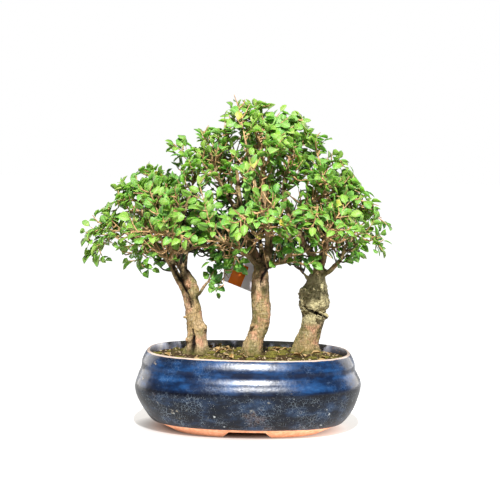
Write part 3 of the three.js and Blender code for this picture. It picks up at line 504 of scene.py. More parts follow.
def plan_fans(trees):
    """Plans each spray's fan and takes off what has no room, as in the solids."""
    lines, radii = [], []
    for tree in trees:
        lines += [limb.line for limb in tree.limbs]
        radii += [limb.start for limb in tree.limbs]
    for tree in trees:
        lines.append(np.array([station[:3] for station in tree.plan["trunk"]], float))
        radii.append(ROOM["burled_trunk"] if tree.name == "right" else ROOM["trunk"])
    woods = Crowd(lines, radii)
    sprays = [spray for tree in trees for spray in tree.sprays]
    taken = [(spray, spray.axis) for spray in sprays]
    for spray in sprays:
        spray.length = np.linalg.norm(spray.axis[3] - spray.axis[0])
        spray.frame = fan_frame(spray.axis)
        spray.place = fan_placer(spray)
        spray.plan = fan_plan(spray, spray.length)
        others = [line for owner, line in taken if owner is not spray]
        crowd = Crowd(others, [0] * len(others))
        kept = []
        for part in spray.plan.growth:
            line = line_of_part(part, spray.place)
            fits = crowd.room_of_line(line) > ROOM["shoots"] and off_wood(line, ROOM["shoot_to_wood"], woods)
            if part.width or fits:
                kept.append(part)
        spray.plan.growth = kept
        taken += [(spray, line_of_part(part, spray.place)) for part in kept if not part.width]
    for spray in sprays:
        own = [line for owner, line in taken if owner is spray]
        others = [line for owner, line in taken if owner is not spray]
        keep_leaves(spray, Crowd(own, [0] * len(own)), Crowd(others, [0] * len(others)), woods)
    return woods


def keep_leaves(spray, own, others, woods):
    """Keeps the leaves that have room and that cross no side of the fan's outline."""
    kept = []

    def fits(leaf, lean):
        line = line_of_part(leaf, spray.place, lean)
        blade = np.array([mix(line[0], line[1], 0.25), line[1]])
        free = (
            in_own_space(line, leaf.width, own, others)
            and off_wood(line, leaf.width / 2 + ROOM["leaf_to_wood"], woods)
            and all(Crowd([other], [0]).room_of_line(blade) > ROOM["leaves"] * leaf.width for other in kept)
            and is_simple(np.array(stem_outline(spray.plan)))
        )
        if free:
            kept.append(blade)
        return free

    shoots = [part for part in spray.plan.growth if not part.width]
    bearers = [(part, [leaf for leaf in part.growth if leaf.width]) for part in [*shoots, spray.plan]]
    spray.plan.growth = shoots
    for shoot in shoots:
        shoot.growth = []
    for bearer, leaves in bearers:
        for leaf in leaves:
            bearer.growth.append(leaf)
            if not fits(leaf, bearer.lean * leaf.along):
                bearer.growth.pop()


def leaf_outline(leaf):
    right = [on_stem(leaf, part * leaf.length, -width * leaf.width / 2) for part, width in LEAF_OUTLINE]
    left = [on_stem(leaf, part * leaf.length, width * leaf.width / 2) for part, width in LEAF_OUTLINE]
    return [on_stem(leaf, 0, -leaf.half), *right, *left[-2::-1], on_stem(leaf, 0, leaf.half)]


def stem_outline(part):
    """The corners of a stem with all that grows on it, in the flat fan."""
    def on(side):
        return sorted((each for each in part.growth if each.side == side), key=lambda each: each.along)

    corners = [on_stem(part, 0, -part.half)]
    for grown in [*on(-1), *on(0), *on(1)[::-1]]:
        corners += leaf_outline(grown) if grown.width else stem_outline(grown)
    return [*corners, on_stem(part, 0, part.half)]


def is_simple(corners):
    """True where no two sides of a closed outline cross."""
    ends = np.roll(corners, -1, axis=0)
    ways = ends - corners

    def turns(points):
        off = points[None] - corners[:, None]
        return ways[:, None, 0] * off[..., 1] - ways[:, None, 1] * off[..., 0]

    parted = turns(corners) * turns(ends) < 0
    return not (parted & parted.T).any()


# Pieces: a mesh in millimetres about the pot's middle becomes an object at the frame's origin

def placed(name, data):
    made = bpy.data.objects.new(name, data)
    bpy.context.scene.collection.objects.link(made)
    return made


def piece(name, mesh, slot, materials, *nodes):
    """Makes the mesh a piece that rides the one body and takes the place of the nodes named."""
    mesh.transform(TO_FRAME)
    mesh.name = name
    for material in materials:
        mesh.materials.append(material)
    mesh.polygons.foreach_set("use_smooth", [True] * len(mesh.polygons))
    made = placed(name, mesh)
    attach(made, "root")
    if nodes:
        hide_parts(*nodes)
    return made


def mesh_of(bm, name="draft"):
    """The mesh of a bmesh, which it uses up."""
    mesh = bpy.data.meshes.new(name)
    bm.to_mesh(mesh)
    bm.free()
    return mesh


def taken_from(holder):
    """The mesh that an object comes to, in place of the object."""
    ready = holder.evaluated_get(bpy.context.evaluated_depsgraph_get())
    result = bpy.data.meshes.new_from_object(ready)
    bpy.data.objects.remove(holder)
    return result


def applied(mesh, *modifiers):
    """The mesh after modifiers, each given as its type and settings."""
    holder = placed("holder", mesh)
    for kind, settings in modifiers:
        modifier = holder.modifiers.new(kind.lower(), kind)
        for key, value in settings.items():
            setattr(modifier, key, value)
    return taken_from(holder)


def grown_tubes(strands, resolution):
    """The mesh of round stems; each strand is its points and the radius at each."""
    curve = bpy.data.curves.new("stems", "CURVE")
    curve.dimensions = "3D"
    curve.bevel_depth = 1
    curve.bevel_resolution = resolution
    curve.use_fill_caps = True
    for points, radii in strands:
        spline = curve.splines.new("POLY")
        spline.points.add(len(points) - 1)
        spline.points.foreach_set("co", np.hstack([points, np.ones((len(points), 1))]).ravel())
        spline.points.foreach_set("radius", radii)
    return taken_from(placed("stems", curve))


def joined(*meshes):
    """One mesh of several, which it uses up."""
    bm = bmesh.new()
    for mesh in meshes:
        bm.from_mesh(mesh)
        bpy.data.meshes.remove(mesh)
    return mesh_of(bm)


# Materials

def linear(red, green, blue):
    """A colour given as a screen shows it, in the units that shaders mix in."""
    parts = (np.array((red, green, blue)) / 255) ** 2.2
    return (*parts, 1)


class Finish:
    """A node material being mixed. Each method gives the socket of what it made, and the scales of
    noise and cells are in features a metre."""

    def __init__(self, name, roughness=0.5, specular=0.5, coat=0.0):
        self.material = bpy.data.materials.new(name)
        self.material.use_nodes = True
        self.nodes = self.material.node_tree.nodes
        self.links = self.material.node_tree.links
        self.shader = self.nodes["Principled BSDF"]
        self.set("Roughness", roughness)
        self.set("Specular IOR Level", specular)
        self.set("Coat Weight", coat)
        self.place = self.nodes.new("ShaderNodeTexCoord").outputs["Object"]

    def feed(self, socket, value):
        if isinstance(value, bpy.types.NodeSocket):
            self.links.new(value, socket)
        else:
            socket.default_value = value

    def set(self, key, value):
        self.feed(self.shader.inputs[key], value)

    def node(self, kind, inputs, **settings):
        made = self.nodes.new("ShaderNode" + kind)
        for key, value in settings.items():
            setattr(made, key, value)
        for key, value in inputs.items():
            self.feed(made.inputs[key], value)
        return made

    def math(self, operation, first, second=0):
        return self.node("Math", {0: first, 1: second}, operation=operation).outputs[0]

    def plus(self, first, second):
        return self.math("ADD", first, second)

    def times(self, first, second):
        return self.math("MULTIPLY", first, second)

    def vector(self, operation, first, second=(0, 0, 0)):
        made = self.node("VectorMath", {0: first, 1: second}, operation=operation)
        return made.outputs["Value" if operation in ("LENGTH", "DISTANCE") else "Vector"]

    def along(self, axis):
        return self.node("SeparateXYZ", {0: self.place}).outputs[axis]

    def attribute(self, name):
        return self.node("Attribute", {}, attribute_name=name).outputs["Fac"]

    def stretched(self, place, stretch):
        return self.node("Mapping", {"Vector": place, "Scale": stretch}).outputs[0]

    def noise(self, scale, detail=4.0, rough=0.55, stretch=None):
        place = self.stretched(self.place, stretch) if stretch else self.place
        inputs = {"Vector": place, "Scale": scale, "Detail": detail, "Roughness": rough}
        return self.node("TexNoise", inputs).outputs["Fac"]

    def cells(self, scale, feature="F1", place=None):
        inputs = {"Vector": place or self.place, "Scale": scale}
        return self.node("TexVoronoi", inputs, feature=feature).outputs["Distance"]

    def warped(self, scale, amount):
        """Places pushed about by noise, so that cells drawn on them look torn rather than cut."""
        cloud = self.node("TexNoise", {"Vector": self.place, "Scale": scale, "Detail": 3}).outputs["Color"]
        shift = self.vector("SUBTRACT", cloud, (0.5, 0.5, 0.5))
        return self.vector("ADD", self.place, self.vector("MULTIPLY", shift, (amount, amount, amount)))

    def fade(self, factor, start, end):
        """0 up to start and 1 past end, or the other way round where start is the greater."""
        inputs = {"Value": factor, "From Min": start, "From Max": end}
        return self.node("MapRange", inputs, interpolation_type="SMOOTHSTEP").outputs[0]

    def patches(self, start, end, *cloud):
        """A mask of the patches where the noise rises from start to end."""
        return self.fade(self.noise(*cloud), start, end)

    def uneven(self, height, amount, *cloud):
        """A height with noise on it, for an edge that isn't drawn with a ruler."""
        return self.plus(height, self.times(self.noise(*cloud), amount))

    def blend(self, factor, *stops):
        """Colours along a factor; each stop is a position and a colour in a shader's units."""
        made = self.node("ValToRGB", {"Fac": factor})
        elements = made.color_ramp.elements
        elements[0].position, elements[0].color = stops[0]
        elements[1].position, elements[1].color = stops[-1]
        for position, colour in stops[1:-1]:
            elements.new(position).color = colour
        return made.outputs["Color"]

    def ramp(self, factor, *stops):
        """The same, with the colours as a screen shows them."""
        return self.blend(factor, *((position, linear(*colour)) for position, colour in stops))

    def mix(self, factor, low, high, blend="MIX"):
        made = self.node("Mix", {0: factor, 6: low, 7: high}, data_type="RGBA", blend_type=blend)
        return made.outputs[2]

    def stained(self, colour, *stains):
        """The colour under stains. Each is a mask, a strength where that is 1, and a colour."""
        for mask, strength, stain in stains:
            colour = self.mix(self.times(mask, strength), colour, linear(*stain))
        return colour

    def bump(self, height, distance, strength):
        made = self.node("Bump", {"Height": height, "Distance": distance, "Strength": strength})
        self.set("Normal", made.outputs[0])


def leaf_finish():
    """Green by each leaf's tone, which holds painted shade deep inside the crown and painted light at its
    skin, and yellow where one has turned, with bluer patches, a pale rib and fine slanting veins."""
    finish = Finish("elm_leaf", roughness=0.46, specular=0.38)
    tone = finish.attribute("tone")
    # The tone holds painted shade and light: the ramp's low end is near black for shaded leaves, its upper
    # greens for lit ones.
    colour = finish.ramp(
        tone, (0, (6, 12, 3)), (0.16, (62, 106, 40)), (0.42, (116, 160, 68)), (0.7, (140, 174, 82)),
        (0.94, (168, 188, 104)), (1, (206, 174, 76)),
    )
    colour = finish.mix(finish.patches(0.35, 0.75, 260, 3), colour, linear(150, 190, 96), "SOFT_LIGHT")
    cool = finish.times(finish.patches(0.48, 0.58, 52, 2), finish.fade(tone, 0.1, 0.3))
    colour = finish.stained(colour, (cool, 0.34, (70, 150, 88)))
    blade = finish.node("SeparateXYZ", {0: finish.node("UVMap", {}, uv_map="blade").outputs[0]}).outputs
    off_rib = finish.math("ABSOLUTE", finish.math("SUBTRACT", blade[1], 0.5))
    slanted = finish.math("SUBTRACT", blade[0], finish.times(off_rib, 0.55))
    veins = finish.fade(finish.math("SINE", finish.times(slanted, 52)), 0.78, 0.98)
    lines = finish.math("MAXIMUM", finish.times(veins, 0.45), finish.fade(off_rib, 0.07, 0.02))
    finish.set("Base Color", finish.stained(colour, (lines, 0.42, (184, 216, 138))))
    finish.set("Subsurface Weight", 0.4)
    finish.set("Subsurface Radius", (0.003, 0.005, 0.0015))
    finish.set("Subsurface Scale", 0.5)
    finish.bump(finish.times(lines, -1), 0.0002, 0.5)
    return finish.material


def twig_finish():
    """Light brown bark on the twigs, with painted shade that darkens them deep in the crown."""
    finish = Finish("elm_twig", roughness=0.6, specular=0.35)
    colour = finish.ramp(
        finish.noise(420, 4), (0.3, (120, 88, 54)), (0.5, (188, 148, 102)), (0.68, (222, 186, 140)),
    )
    off = finish.vector("SUBTRACT", finish.place, TO_FRAME @ Vector(CROWN_HEART))
    reach = finish.vector("LENGTH", finish.vector("MULTIPLY", off, (0.8, 1.1, 1)))
    # Painted shade: twigs near the crown's heart and behind its front turn nearly black.
    behind = finish.fade(finish.along(1), -0.03, -0.006)
    inner = finish.times(finish.fade(reach, 0.125, 0.085), behind)
    finish.set("Base Color", finish.stained(colour, (inner, 0.94, (18, 12, 7))))
    finish.bump(finish.noise(1600, 3), 0.0002, 0.6)
    return finish.material


def bark_finish():
    """Pale tan bark with pinkish and olive patches, upright cracks, darker cracks with painted shade in the
    clefts and round the forks, lichen on the burl and moss at the foot."""
    finish = Finish("elm_bark", roughness=0.72, specular=0.3)
    colour = finish.ramp(
        finish.noise(34, 4, 0.6), (0.28, (108, 93, 55)), (0.42, (147, 125, 81)),
        (0.55, (175, 148, 105)), (0.72, (197, 168, 132)),
    )
    pink = finish.patches(0.5, 0.62, 64, 4, 0.65)
    olive = finish.patches(0.47, 0.6, 52, 5, 0.65, (1.2, 1.2, 0.8))
    plates = finish.stretched(finish.warped(90, 0.012), (1.5, 1.5, 0.62))
    cracks = finish.fade(finish.cells(190, "DISTANCE_TO_EDGE", plates), 0.09, 0)
    grain = finish.noise(900, 4, 0.6, (1, 1, 0.35))
    flecks = finish.patches(0.58, 0.68, 420, 3, 0.6, (1, 1, 0.6))
    rings = finish.patches(0.54, 0.66, 150, 4, 0.6, (0.5, 0.5, 2.4))
    colour = finish.stained(
        colour, (pink, 0.7, (206, 150, 120)), (olive, 0.7, (112, 112, 64)),
        (finish.fade(grain, 0.56, 0.72), 0.45, (98, 80, 52)), (cracks, 0.34, (84, 66, 44)),
        (flecks, 0.4, (222, 200, 168)), (rings, 0.3, (226, 202, 164)),
    )
    off_burl = finish.vector("DISTANCE", finish.place, TO_FRAME @ Vector(BURL["centre"]))
    lichen = finish.ramp(finish.noise(300, 5, 0.65), (0.34, (158, 147, 106)), (0.64, (204, 193, 148)))
    colour = finish.mix(finish.times(finish.fade(off_burl, 0.034, 0.026), 0.92), colour, lichen)
    cracks_and_painted_shade = finish.attribute("cracks_and_painted_shade")
    moss = finish.fade(finish.uneven(finish.along(2), -0.02, 60, 3), 0.088, 0.074)
    # Darker cracks, and painted shade in the clefts and round the forks.
    colour = finish.stained(colour, (cracks_and_painted_shade, 1, (34, 24, 16)), (moss, 0.7, (96, 96, 46)))
    finish.set("Base Color", colour)
    height = finish.plus(finish.times(cracks, -0.5), finish.times(grain, 0.5))
    finish.bump(finish.plus(height, finish.times(rings, 0.35)), 0.0011, 0.85)
    return finish.material


def glaze_finish():
    """Deep blue glaze over a slate lower wall with a pale net of crazing, on a terracotta foot."""
    finish = Finish("blue_glaze", specular=0.36, coat=0.6)
    finish.set("Coat Roughness", 0.11)
    height = finish.along(2)
    level = finish.math("SUBTRACT", height, finish.times(finish.along(0), 0.004))
    level = finish.uneven(level, 0.003, 40, 3)
    mottle = finish.noise(46, 6, 0.62, (0.7, 0.7, 1.6))
    net = finish.fade(finish.cells(260, "DISTANCE_TO_EDGE", finish.warped(120, 0.008)), 0.05, 0)
    crazing = finish.times(net, finish.patches(0.42, 0.64, 60, 4))

    lower = finish.ramp(mottle, (0.3, (1, 6, 14)), (0.5, (8, 22, 38)), (0.7, (36, 56, 82)))
    rust = finish.patches(0.58, 0.7, 30, 5, 0.7)
    specks = finish.fade(finish.cells(88, place=finish.warped(300, 0.005)), 0.11, 0.07)
    dots = finish.times(finish.fade(finish.cells(900), 0.2, 0.08), finish.patches(0.5, 0.62, 140, 2))
    lime = finish.patches(0.62, 0.7, 30, 7, 0.74, (0.8, 0.8, 1.4))
    lower = finish.stained(
        lower, (crazing, 0.5, (150, 166, 180)), (rust, 0.4, (96, 76, 66)),
        (specks, 0.6, (186, 192, 192)), (dots, 1, (196, 200, 198)), (lime, 0.6, (184, 176, 156)),
    )

    upper = finish.ramp(
        mottle, (0.3, (8, 18, 34)), (0.46, (18, 40, 70)), (0.6, (32, 68, 112)), (0.8, (66, 110, 156)),
    )
    # A darker streak along the groove between the two upper bands: painted shade.
    groove_shade = finish.times(finish.fade(level, 0.069, 0.0745), finish.fade(level, 0.0795, 0.0765))
    groove_shade = finish.times(groove_shade, finish.patches(0.4, 0.6, 36, 4, 0.6, (1, 1, 0.3)))
    chips = finish.fade(finish.cells(52, place=finish.warped(200, 0.01)), 0.12, 0.07)
    upper = finish.stained(
        upper, (crazing, 0.2, (140, 170, 200)), (groove_shade, 0.8, (6, 16, 38)),
        (chips, 0.55, (176, 160, 136)),
    )

    above_ledge = finish.fade(level, 0.0535, 0.0555)
    ledge = finish.times(finish.fade(level, 0.049, 0.053), finish.fade(level, 0.0585, 0.0555))
    rim = finish.fade(finish.uneven(height, 0.0012, 90, 3), 0.0886, 0.0894)
    colour = finish.mix(above_ledge, lower, upper)
    colour = finish.stained(colour, (ledge, 0.6, (6, 10, 26)), (rim, 1, (212, 188, 172)))
    foot = finish.fade(finish.uneven(height, 0.002, 70, 2), 0.0118, 0.0108)
    clay = finish.ramp(finish.noise(240, 5), (0.3, (214, 136, 98)), (0.7, (246, 180, 142)))
    finish.set("Base Color", finish.mix(foot, colour, clay))

    dull = finish.plus(finish.times(crazing, 0.25), finish.times(lime, 0.3))
    rough = finish.plus(finish.plus(finish.times(finish.noise(180, 3), 0.24), 0.2), dull)
    finish.set("Roughness", finish.plus(rough, finish.times(foot, 0.55)))
    glassy = finish.plus(finish.times(above_ledge, 0.24), 0.04)
    bare = finish.math("MAXIMUM", foot, dull)
    finish.set("Coat Weight", finish.times(finish.math("SUBTRACT", 1, bare), glassy))
    ripples = finish.plus(finish.noise(75, 3), finish.times(finish.noise(300, 3, 0.6), 0.22))
    finish.bump(finish.plus(ripples, finish.times(crazing, -0.06)), 0.0006, 0.62)
    return finish.material


def inner_wall_finish():
    """Thin slate-blue glaze inside the rim, with painted light that makes it paler along the back and the
    front where the crown shades it, and speckled where the clay shows through."""
    finish = Finish("inner_glaze", roughness=0.35, specular=0.5, coat=0.2)
    cloud = finish.noise(60, 5, 0.65)
    ends = finish.ramp(cloud, (0.3, (30, 33, 40)), (0.5, (76, 77, 86)), (0.7, (128, 126, 130)))
    # Painted light: the back and front of the inner wall, which the crown shades, are given paler colours.
    painted_light_sides = finish.ramp(cloud, (0.3, (96, 104, 124)), (0.5, (168, 172, 190)), (0.7, (214, 212, 214)))
    off_middle = finish.math("ABSOLUTE", finish.along(0))
    colour = finish.mix(finish.fade(off_middle, 0.125, 0.085), ends, painted_light_sides)
    spots = finish.fade(finish.cells(240), 0.24, 0.12)
    finish.set("Base Color", finish.stained(colour, (spots, 0.6, (196, 150, 118))))
    finish.bump(finish.noise(300, 3), 0.0003, 0.4)
    return finish.material


def soil_finish():
    """Crumbly dark soil with olive moss over much of it."""
    finish = Finish("soil_and_moss", roughness=0.9, specular=0.2)
    crumbs = finish.noise(520, 6, 0.68)
    earth = finish.ramp(crumbs, (0.3, (22, 15, 10)), (0.5, (66, 50, 32)), (0.7, (132, 104, 70)))
    moss = finish.ramp(crumbs, (0.3, (24, 24, 8)), (0.5, (82, 76, 32)), (0.7, (158, 146, 72)))
    finish.set("Base Color", finish.mix(finish.patches(0.49, 0.59, 42, 5, 0.65), earth, moss))
    finish.bump(finish.plus(crumbs, finish.cells(420)), 0.0016, 0.9)
    return finish.material


def plain_finish(name, colour, other, roughness, scale=300, relief=0.0001):
    """One stuff throughout, its colour clouded between two."""
    finish = Finish(name, roughness=roughness, specular=0.3)
    finish.set("Base Color", finish.ramp(finish.noise(scale, 4), (0.35, colour), (0.65, other)))
    finish.bump(finish.noise(scale * 4, 3), relief, 0.5)
    return finish.material


# Foliage

UP = np.array((0, 0, 1.0))
# The front view's eye, level with the top of the crown and far in front of the pot
EYE = (-0.7, -1800, 341.7)
CROWN_LOW = np.array((-194, -112, 150))
CROWN_HIGH = np.array((172, 118, 376))
# The clipped crown's reach to the left and right at heights, in the front view, and its half depth
CROWN_EDGE = [
    (165, -60, 66), (178, -150, 84), (188, -188, 124), (200, -196, 158), (225, -190, 156),
    (245, -178, 150), (265, -158, 134), (285, -148, 122), (305, -112, 108), (330, -92, 86),
    (350, -42, 64), (372, -20, 46),
]
CROWN_DEPTH = 135
# How far past the clipped edge a leaf may still be
EDGE_SLACK = 8
# Sprays that hang low and keep only part of their fine shoots
THINNED = {"left_spray_01": 0.5, "middle_spray_01": 0.7, "middle_spray_02": 0.5}
# Shares of the fine leaves that are pruned: those that hide a limb, those in front, the others, and
# those past the crown's edge. Low leaves are pruned by half as much.
PRUNED = {"hides_limb": 0.72, "front": 0.36, "other": 0.2, "past_edge": 0.6}
FRONT_Y = -15
LOW_LEAF_Z = 200
# How near a limb, as the front view shows it, a leaf hides it
CLEARING_WIDTH = 6.5
# Windows of the front view that are picked clear of leaves, before the card and above the burl
OPEN_WINDOWS = [
    {"x": (-32, 3), "z": (150, 184), "kept": 0.1}, {"x": (38, 94), "z": (150, 191), "kept": 0.1},
]
WINDOW_BACK = 20
# Leafy shoots at the end of the left tree's short dead twig
STUB_SHOOTS = [
    [(-48, -12, 169), (-43, -14, 173), (-37, -15, 175)], [(-48, -12, 169), (-43, -14, 167), (-38, -15, 158)],
    [(-48, -12, 169), (-45, -14, 176), (-41, -15, 182)],
]
# Ends of the leafy shoots that close the crown where the middle tree's top meets the right tree's
TOP_SHOOTS = [
    (34, -5, 350), (42, -5, 359), (49, -8, 343), (30, 2, 363), (40, 0, 334), (53, -8, 352), (26, 0, 344),
    (36, -12, 340), (46, 4, 328),
]
# The lowest places on the limbs where inner shoots start, and the lowest where they end
INNER_LOWEST = {"root": 178, "end": 184}
# The turn about a stem from one fine shoot to the next, in radians
GOLDEN_TURN = 2.4
LEAF_SIZE = 14.6
BLADE_STEPS = 7
# Fold along the rib, arch to the tip, twist and wave of the blades that the leaves are copies of
BLADES = [(0.35, 0.12, 0, 0.012), (0.2, 0.22, 0.25, 0.02), (0.5, 0.05, -0.2, 0.015), (0.12, 0.3, 0.1, 0.01)]


def leaf_template(fold, arch, twist, wave):
    """One elm blade a unit long and a unit wide, with its short stalk at the origin, root to tip
    along x. Its edges are toothed, its halves fold up from the rib and it arches down to its tip."""
    bm = bmesh.new()
    bmesh.ops.create_grid(bm, x_segments=BLADE_STEPS, y_segments=2, size=0.5)
    uv = bm.loops.layers.uv.new("blade")
    bm.verts.layers.float.new("tone")
    for face in bm.faces:
        for loop in face.loops:
            loop[uv].uv = (loop.vert.co.x + 0.5, loop.vert.co.y + 0.5)
    stalk = 1 / BLADE_STEPS
    for vert in bm.verts:
        step = round((vert.co.x + 0.5) * BLADE_STEPS)
        side = round(vert.co.y * 2)
        if step == 0:
            vert.co = (0, side * 0.035, 0)
            continue
        along = step / BLADE_STEPS
        blade = (along - stalk) / (1 - stalk)
        width = math.sin(math.pi * blade**0.9) ** 0.58 if 0 < blade < 1 else 0
        width = max(width, 0.07 if step == 1 else 0.02)
        tooth = 1.05 if step % 2 else 0.93
        across = side * 0.5 * width * tooth
        lift = fold * abs(across) - arch * along**2 + wave * side * math.sin(9 * along)
        vert.co = (along * (1 - 0.06 * arch), across, lift + twist * across * along)
    bmesh.ops.remove_doubles(bm, verts=bm.verts, dist=0.004)
    bmesh.ops.recalc_face_normals(bm, faces=bm.faces)
    if sum(face.normal.z for face in bm.faces) < 0:
        bmesh.ops.reverse_faces(bm, faces=bm.faces)
    bmesh.ops.solidify(bm, geom=bm.faces, thickness=-0.02)
    return mesh_of(bm, "blade")


def blade_matrix(root, way, face, length, width):
    """Puts a blade at its root, along way, with its upper face turned to face."""
    way = unit(way)
    upper = unit(face - (face @ way) * way)
    turn = np.eye(4)
    turn[:3, 0] = way * length
    turn[:3, 1] = np.cross(upper, way) * width
    turn[:3, 2] = upper * length
    turn[:3, 3] = root
    return Matrix(turn.tolist())


def add_mesh(bm, mesh, material=0):
    """Adds a mesh to a bmesh, with its faces in the material of that number, and uses it up."""
    start = len(bm.faces)
    bm.from_mesh(mesh)
    bpy.data.meshes.remove(mesh)
    if material:
        give_material(bm, start, material)


def give_material(bm, start, material):
    """Puts the faces from start on in the material of that number."""
    bm.faces.ensure_lookup_table()
    for face in bm.faces[start:]:
        face.material_index = material


class Shoot:
    """A thin stem with its radii and the way that its leaves' upper faces look."""

    def __init__(self, points, radius, end_radius, face):
        self.curve = Line(points)
        count = max(3, math.ceil(self.curve.length / 5))
        self.points = self.curve.spaced(count)
        self.radii = np.linspace(radius, end_radius, count + 1)
        self.face = face


def leaves_along(shoot, draw, first, spacing, size, taken=()):
    """Alternate leaves up a shoot and one at its end, as root, way, face, length, width."""
    found = []
    along = first
    hand = 1 if draw() < 0.5 else -1
    while along < shoot.curve.length - 3:
        hand = -hand
        part = along / shoot.curve.length
        root = shoot.curve.at(part)[0]
        heading = shoot.curve.heading(part)
        if all(np.linalg.norm(root - other) > 2.6 for other in taken):
            side = unit(np.cross(shoot.face, heading)) * hand
            open_by = mix(0.7, 1.15, draw())
            lift = mix(-0.2, 0.5, draw())
            way = math.cos(open_by) * heading + math.sin(open_by) * side + lift * shoot.face
            face = shoot.face + 0.5 * (draw() - 0.5) * heading + 0.9 * (draw() - 0.5) * side
            length = size * mix(0.72, 1.2, draw()) * (1 - 0.2 * abs(part - 0.45))
            found.append((root, way, face, length, length * mix(0.6, 0.78, draw())))
        along += spacing * mix(0.8, 1.25, draw())
    end = shoot.curve.at(1)[0]
    way = shoot.curve.heading(1) + 0.3 * (draw() - 0.5) * shoot.face
    found.append((end, way, shoot.face, size * mix(0.7, 1, draw()), size * mix(0.4, 0.54, draw())))
    return found


def solid_leaves(spray, part, lean, found):
    """The blades of the spray's own plan, with their place and bend."""
    heading, facing, side = spray.frame
    for leaf in part.growth:
        if not leaf.width:
            solid_leaves(spray, leaf, lean + part.lean * leaf.along, found)
            continue
        lift = lean + part.lean * leaf.along
        root = spray.place(*leaf.start, lift)
        tip = spray.place(*on_stem(leaf, leaf.length, 0), lift + leaf.rise * leaf.length)
        cosine, sine = math.cos(leaf.angle), math.sin(leaf.angle)
        across = side * cosine - heading * sine + leaf.roll * facing
        way = tip - root
        found.append((root, way, np.cross(way, across), leaf.length * 1.03, leaf.width * 1.02))


def past_edge(place):
    """How far a place is outside the crown's clipped outline."""
    heights, left, right = zip(*CROWN_EDGE)
    narrowed = math.sqrt(max(0.1, 1 - (place[1] / CROWN_DEPTH) ** 2))
    outer_left = np.interp(place[2], heights, left) * narrowed
    outer_right = np.interp(place[2], heights, right) * narrowed
    return max(outer_left - place[0], place[0] - outer_right)


def window_at(place):
    """The open window of the front view that a place is in, if any."""
    for window in OPEN_WINDOWS:
        wide = window["x"][0] < place[0] < window["x"][1]
        if wide and window["z"][0] < place[2] < window["z"][1] and place[1] < WINDOW_BACK:
            return window
    return None


def well_placed(shoot):
    end = shoot.points[-1]
    return past_edge(end) < EDGE_SLACK / 2 and window_at(end) is None


def fullness(spray):
    """The share of its fine shoots that a spray keeps: fewer in front, at the top and far out."""
    x, y, z = spray.axis[3]
    share = 0.75 if y < -20 else 1
    share *= 0.5 if x > 95 else 0.8 if x > 40 else 0.85 if x < -120 else 1
    if z > 320:
        share *= 0.7 if x < 0 else 1.1
    elif z < 205 and x < 0:
        share *= 1.35
    return THINNED.get(spray.name, share)


def shoot_on(curve, part, turn, length, draw):
    """A fine shoot from a place on a stem, turned about it, that bends up to the light."""
    root = curve.at(part)[0]
    ahead = curve.heading(part)
    side = unit(np.cross(ahead, UP + 0.01))
    over = np.cross(side, ahead)
    turn += draw()
    radial = math.cos(turn) * side + math.sin(turn) * over
    length *= 1.12 - 0.4 * part
    way = unit(0.6 * ahead + radial)
    bend = root + 0.5 * length * way
    wander = np.array((draw() - 0.5, draw() - 0.5, draw() - 0.2))
    end = bend + 0.5 * length * unit(way + 0.45 * UP + 0.25 * ahead + 0.8 * wander)
    outward = unit((root - CROWN_HEART) * (1, 1, 0.5))
    face = unit(0.7 * UP + 0.8 * outward + 0.9 * (np.array((draw(), draw(), draw())) - 0.5))
    stout = mix(0.6, 1, draw()) + 0.013 * length
    return Shoot([root, bend, end], stout, 0.46, face)


def side_shoots(spray, draw):
    """Fine shoots all round the spray's stem and the thin branch that carries it."""
    share = fullness(spray)
    stem_curve = Line([spray.place(x * spray.length, 0, 0) for x in (0, 0.25, 0.5, 0.75, 0.95)])
    carrier = spray.carrier.curve
    made = []
    for curve, count, first, last, lengths in (
        (stem_curve, round((4 + spray.length / 11) * share), 0.05, 0.93, (11, 22)),
        (carrier, round(max(2, carrier.length / 8) * share), 0.25, 1, (14, 30)),
    ):
        for number in range(count):
            part = mix(first, last, (number + draw()) / count)
            made.append(shoot_on(curve, part, number * GOLDEN_TURN, between(lengths, draw), draw))
    return [shoot for shoot in made if well_placed(shoot)]


def inner_growth(tree, crown):
    """Leafy shoots and bare twigs on the limbs inside the crown."""
    draw = draws(SEEDS[tree.name] * 31)
    shoots, bare = [], []
    for limb in tree.limbs:
        if limb.thin:
            continue
        count = round(limb.curve.length / 4)
        for number in range(count):
            part = mix(0.3, 1, (number + draw()) / count)
            if limb.curve.at(part)[0][2] < INNER_LOWEST["root"]:
                continue
            shoot = shoot_on(limb.curve, part, number * GOLDEN_TURN, mix(18, 50, draw()), draw)
            end = shoot.points[-1]
            if crown.woods.room(end[None]) < 1 or end[2] < INNER_LOWEST["end"] or not well_placed(shoot):
                continue
            (bare if draw() < 0.6 or end[1] < -25 else shoots).append(shoot)
    forks = []
    for number, shoot in enumerate(bare):
        length = shoot.curve.length * mix(0.5, 0.8, draw())
        forks.append(shoot_on(shoot.curve, mix(0.35, 0.75, draw()), number * GOLDEN_TURN, length, draw))
    bare += forks
    leaves = []
    for shoot in shoots:
        leaves += leaves_along(shoot, draw, 4, 4.8, LEAF_SIZE)
    for shoot in bare:
        leaves += leaves_along(shoot, draw, shoot.curve.length * 0.75, 6, LEAF_SIZE)
    if tree.name == "left":
        for points in STUB_SHOOTS:
            shoots.append(Shoot(points, 1, 0.5, unit(np.array((0.2, -0.8, 0.6)))))
            leaves += leaves_along(shoots[-1], draw, 2, 3.2, 0.8 * LEAF_SIZE)
    if tree.name == "middle":
        wood = np.vstack([limb.curve.spaced(round(limb.curve.length / 3)) for limb in tree.limbs])
        for end in np.array(TOP_SHOOTS, float):
            root = wood[np.linalg.norm((wood - end) * (1, 1, 0.7), axis=1).argmin()]
            bend = mix(root, end, 0.5) + (2, 0, -2)
            shoots.append(Shoot([root, bend, end], 1, 0.5, unit(np.array((0.2, -0.7, 0.7)))))
            leaves += leaves_along(shoots[-1], draw, 6, 4.5, LEAF_SIZE)
    return leafy_mesh(leaves, 0, [*shoots, *bare], crown, draw)


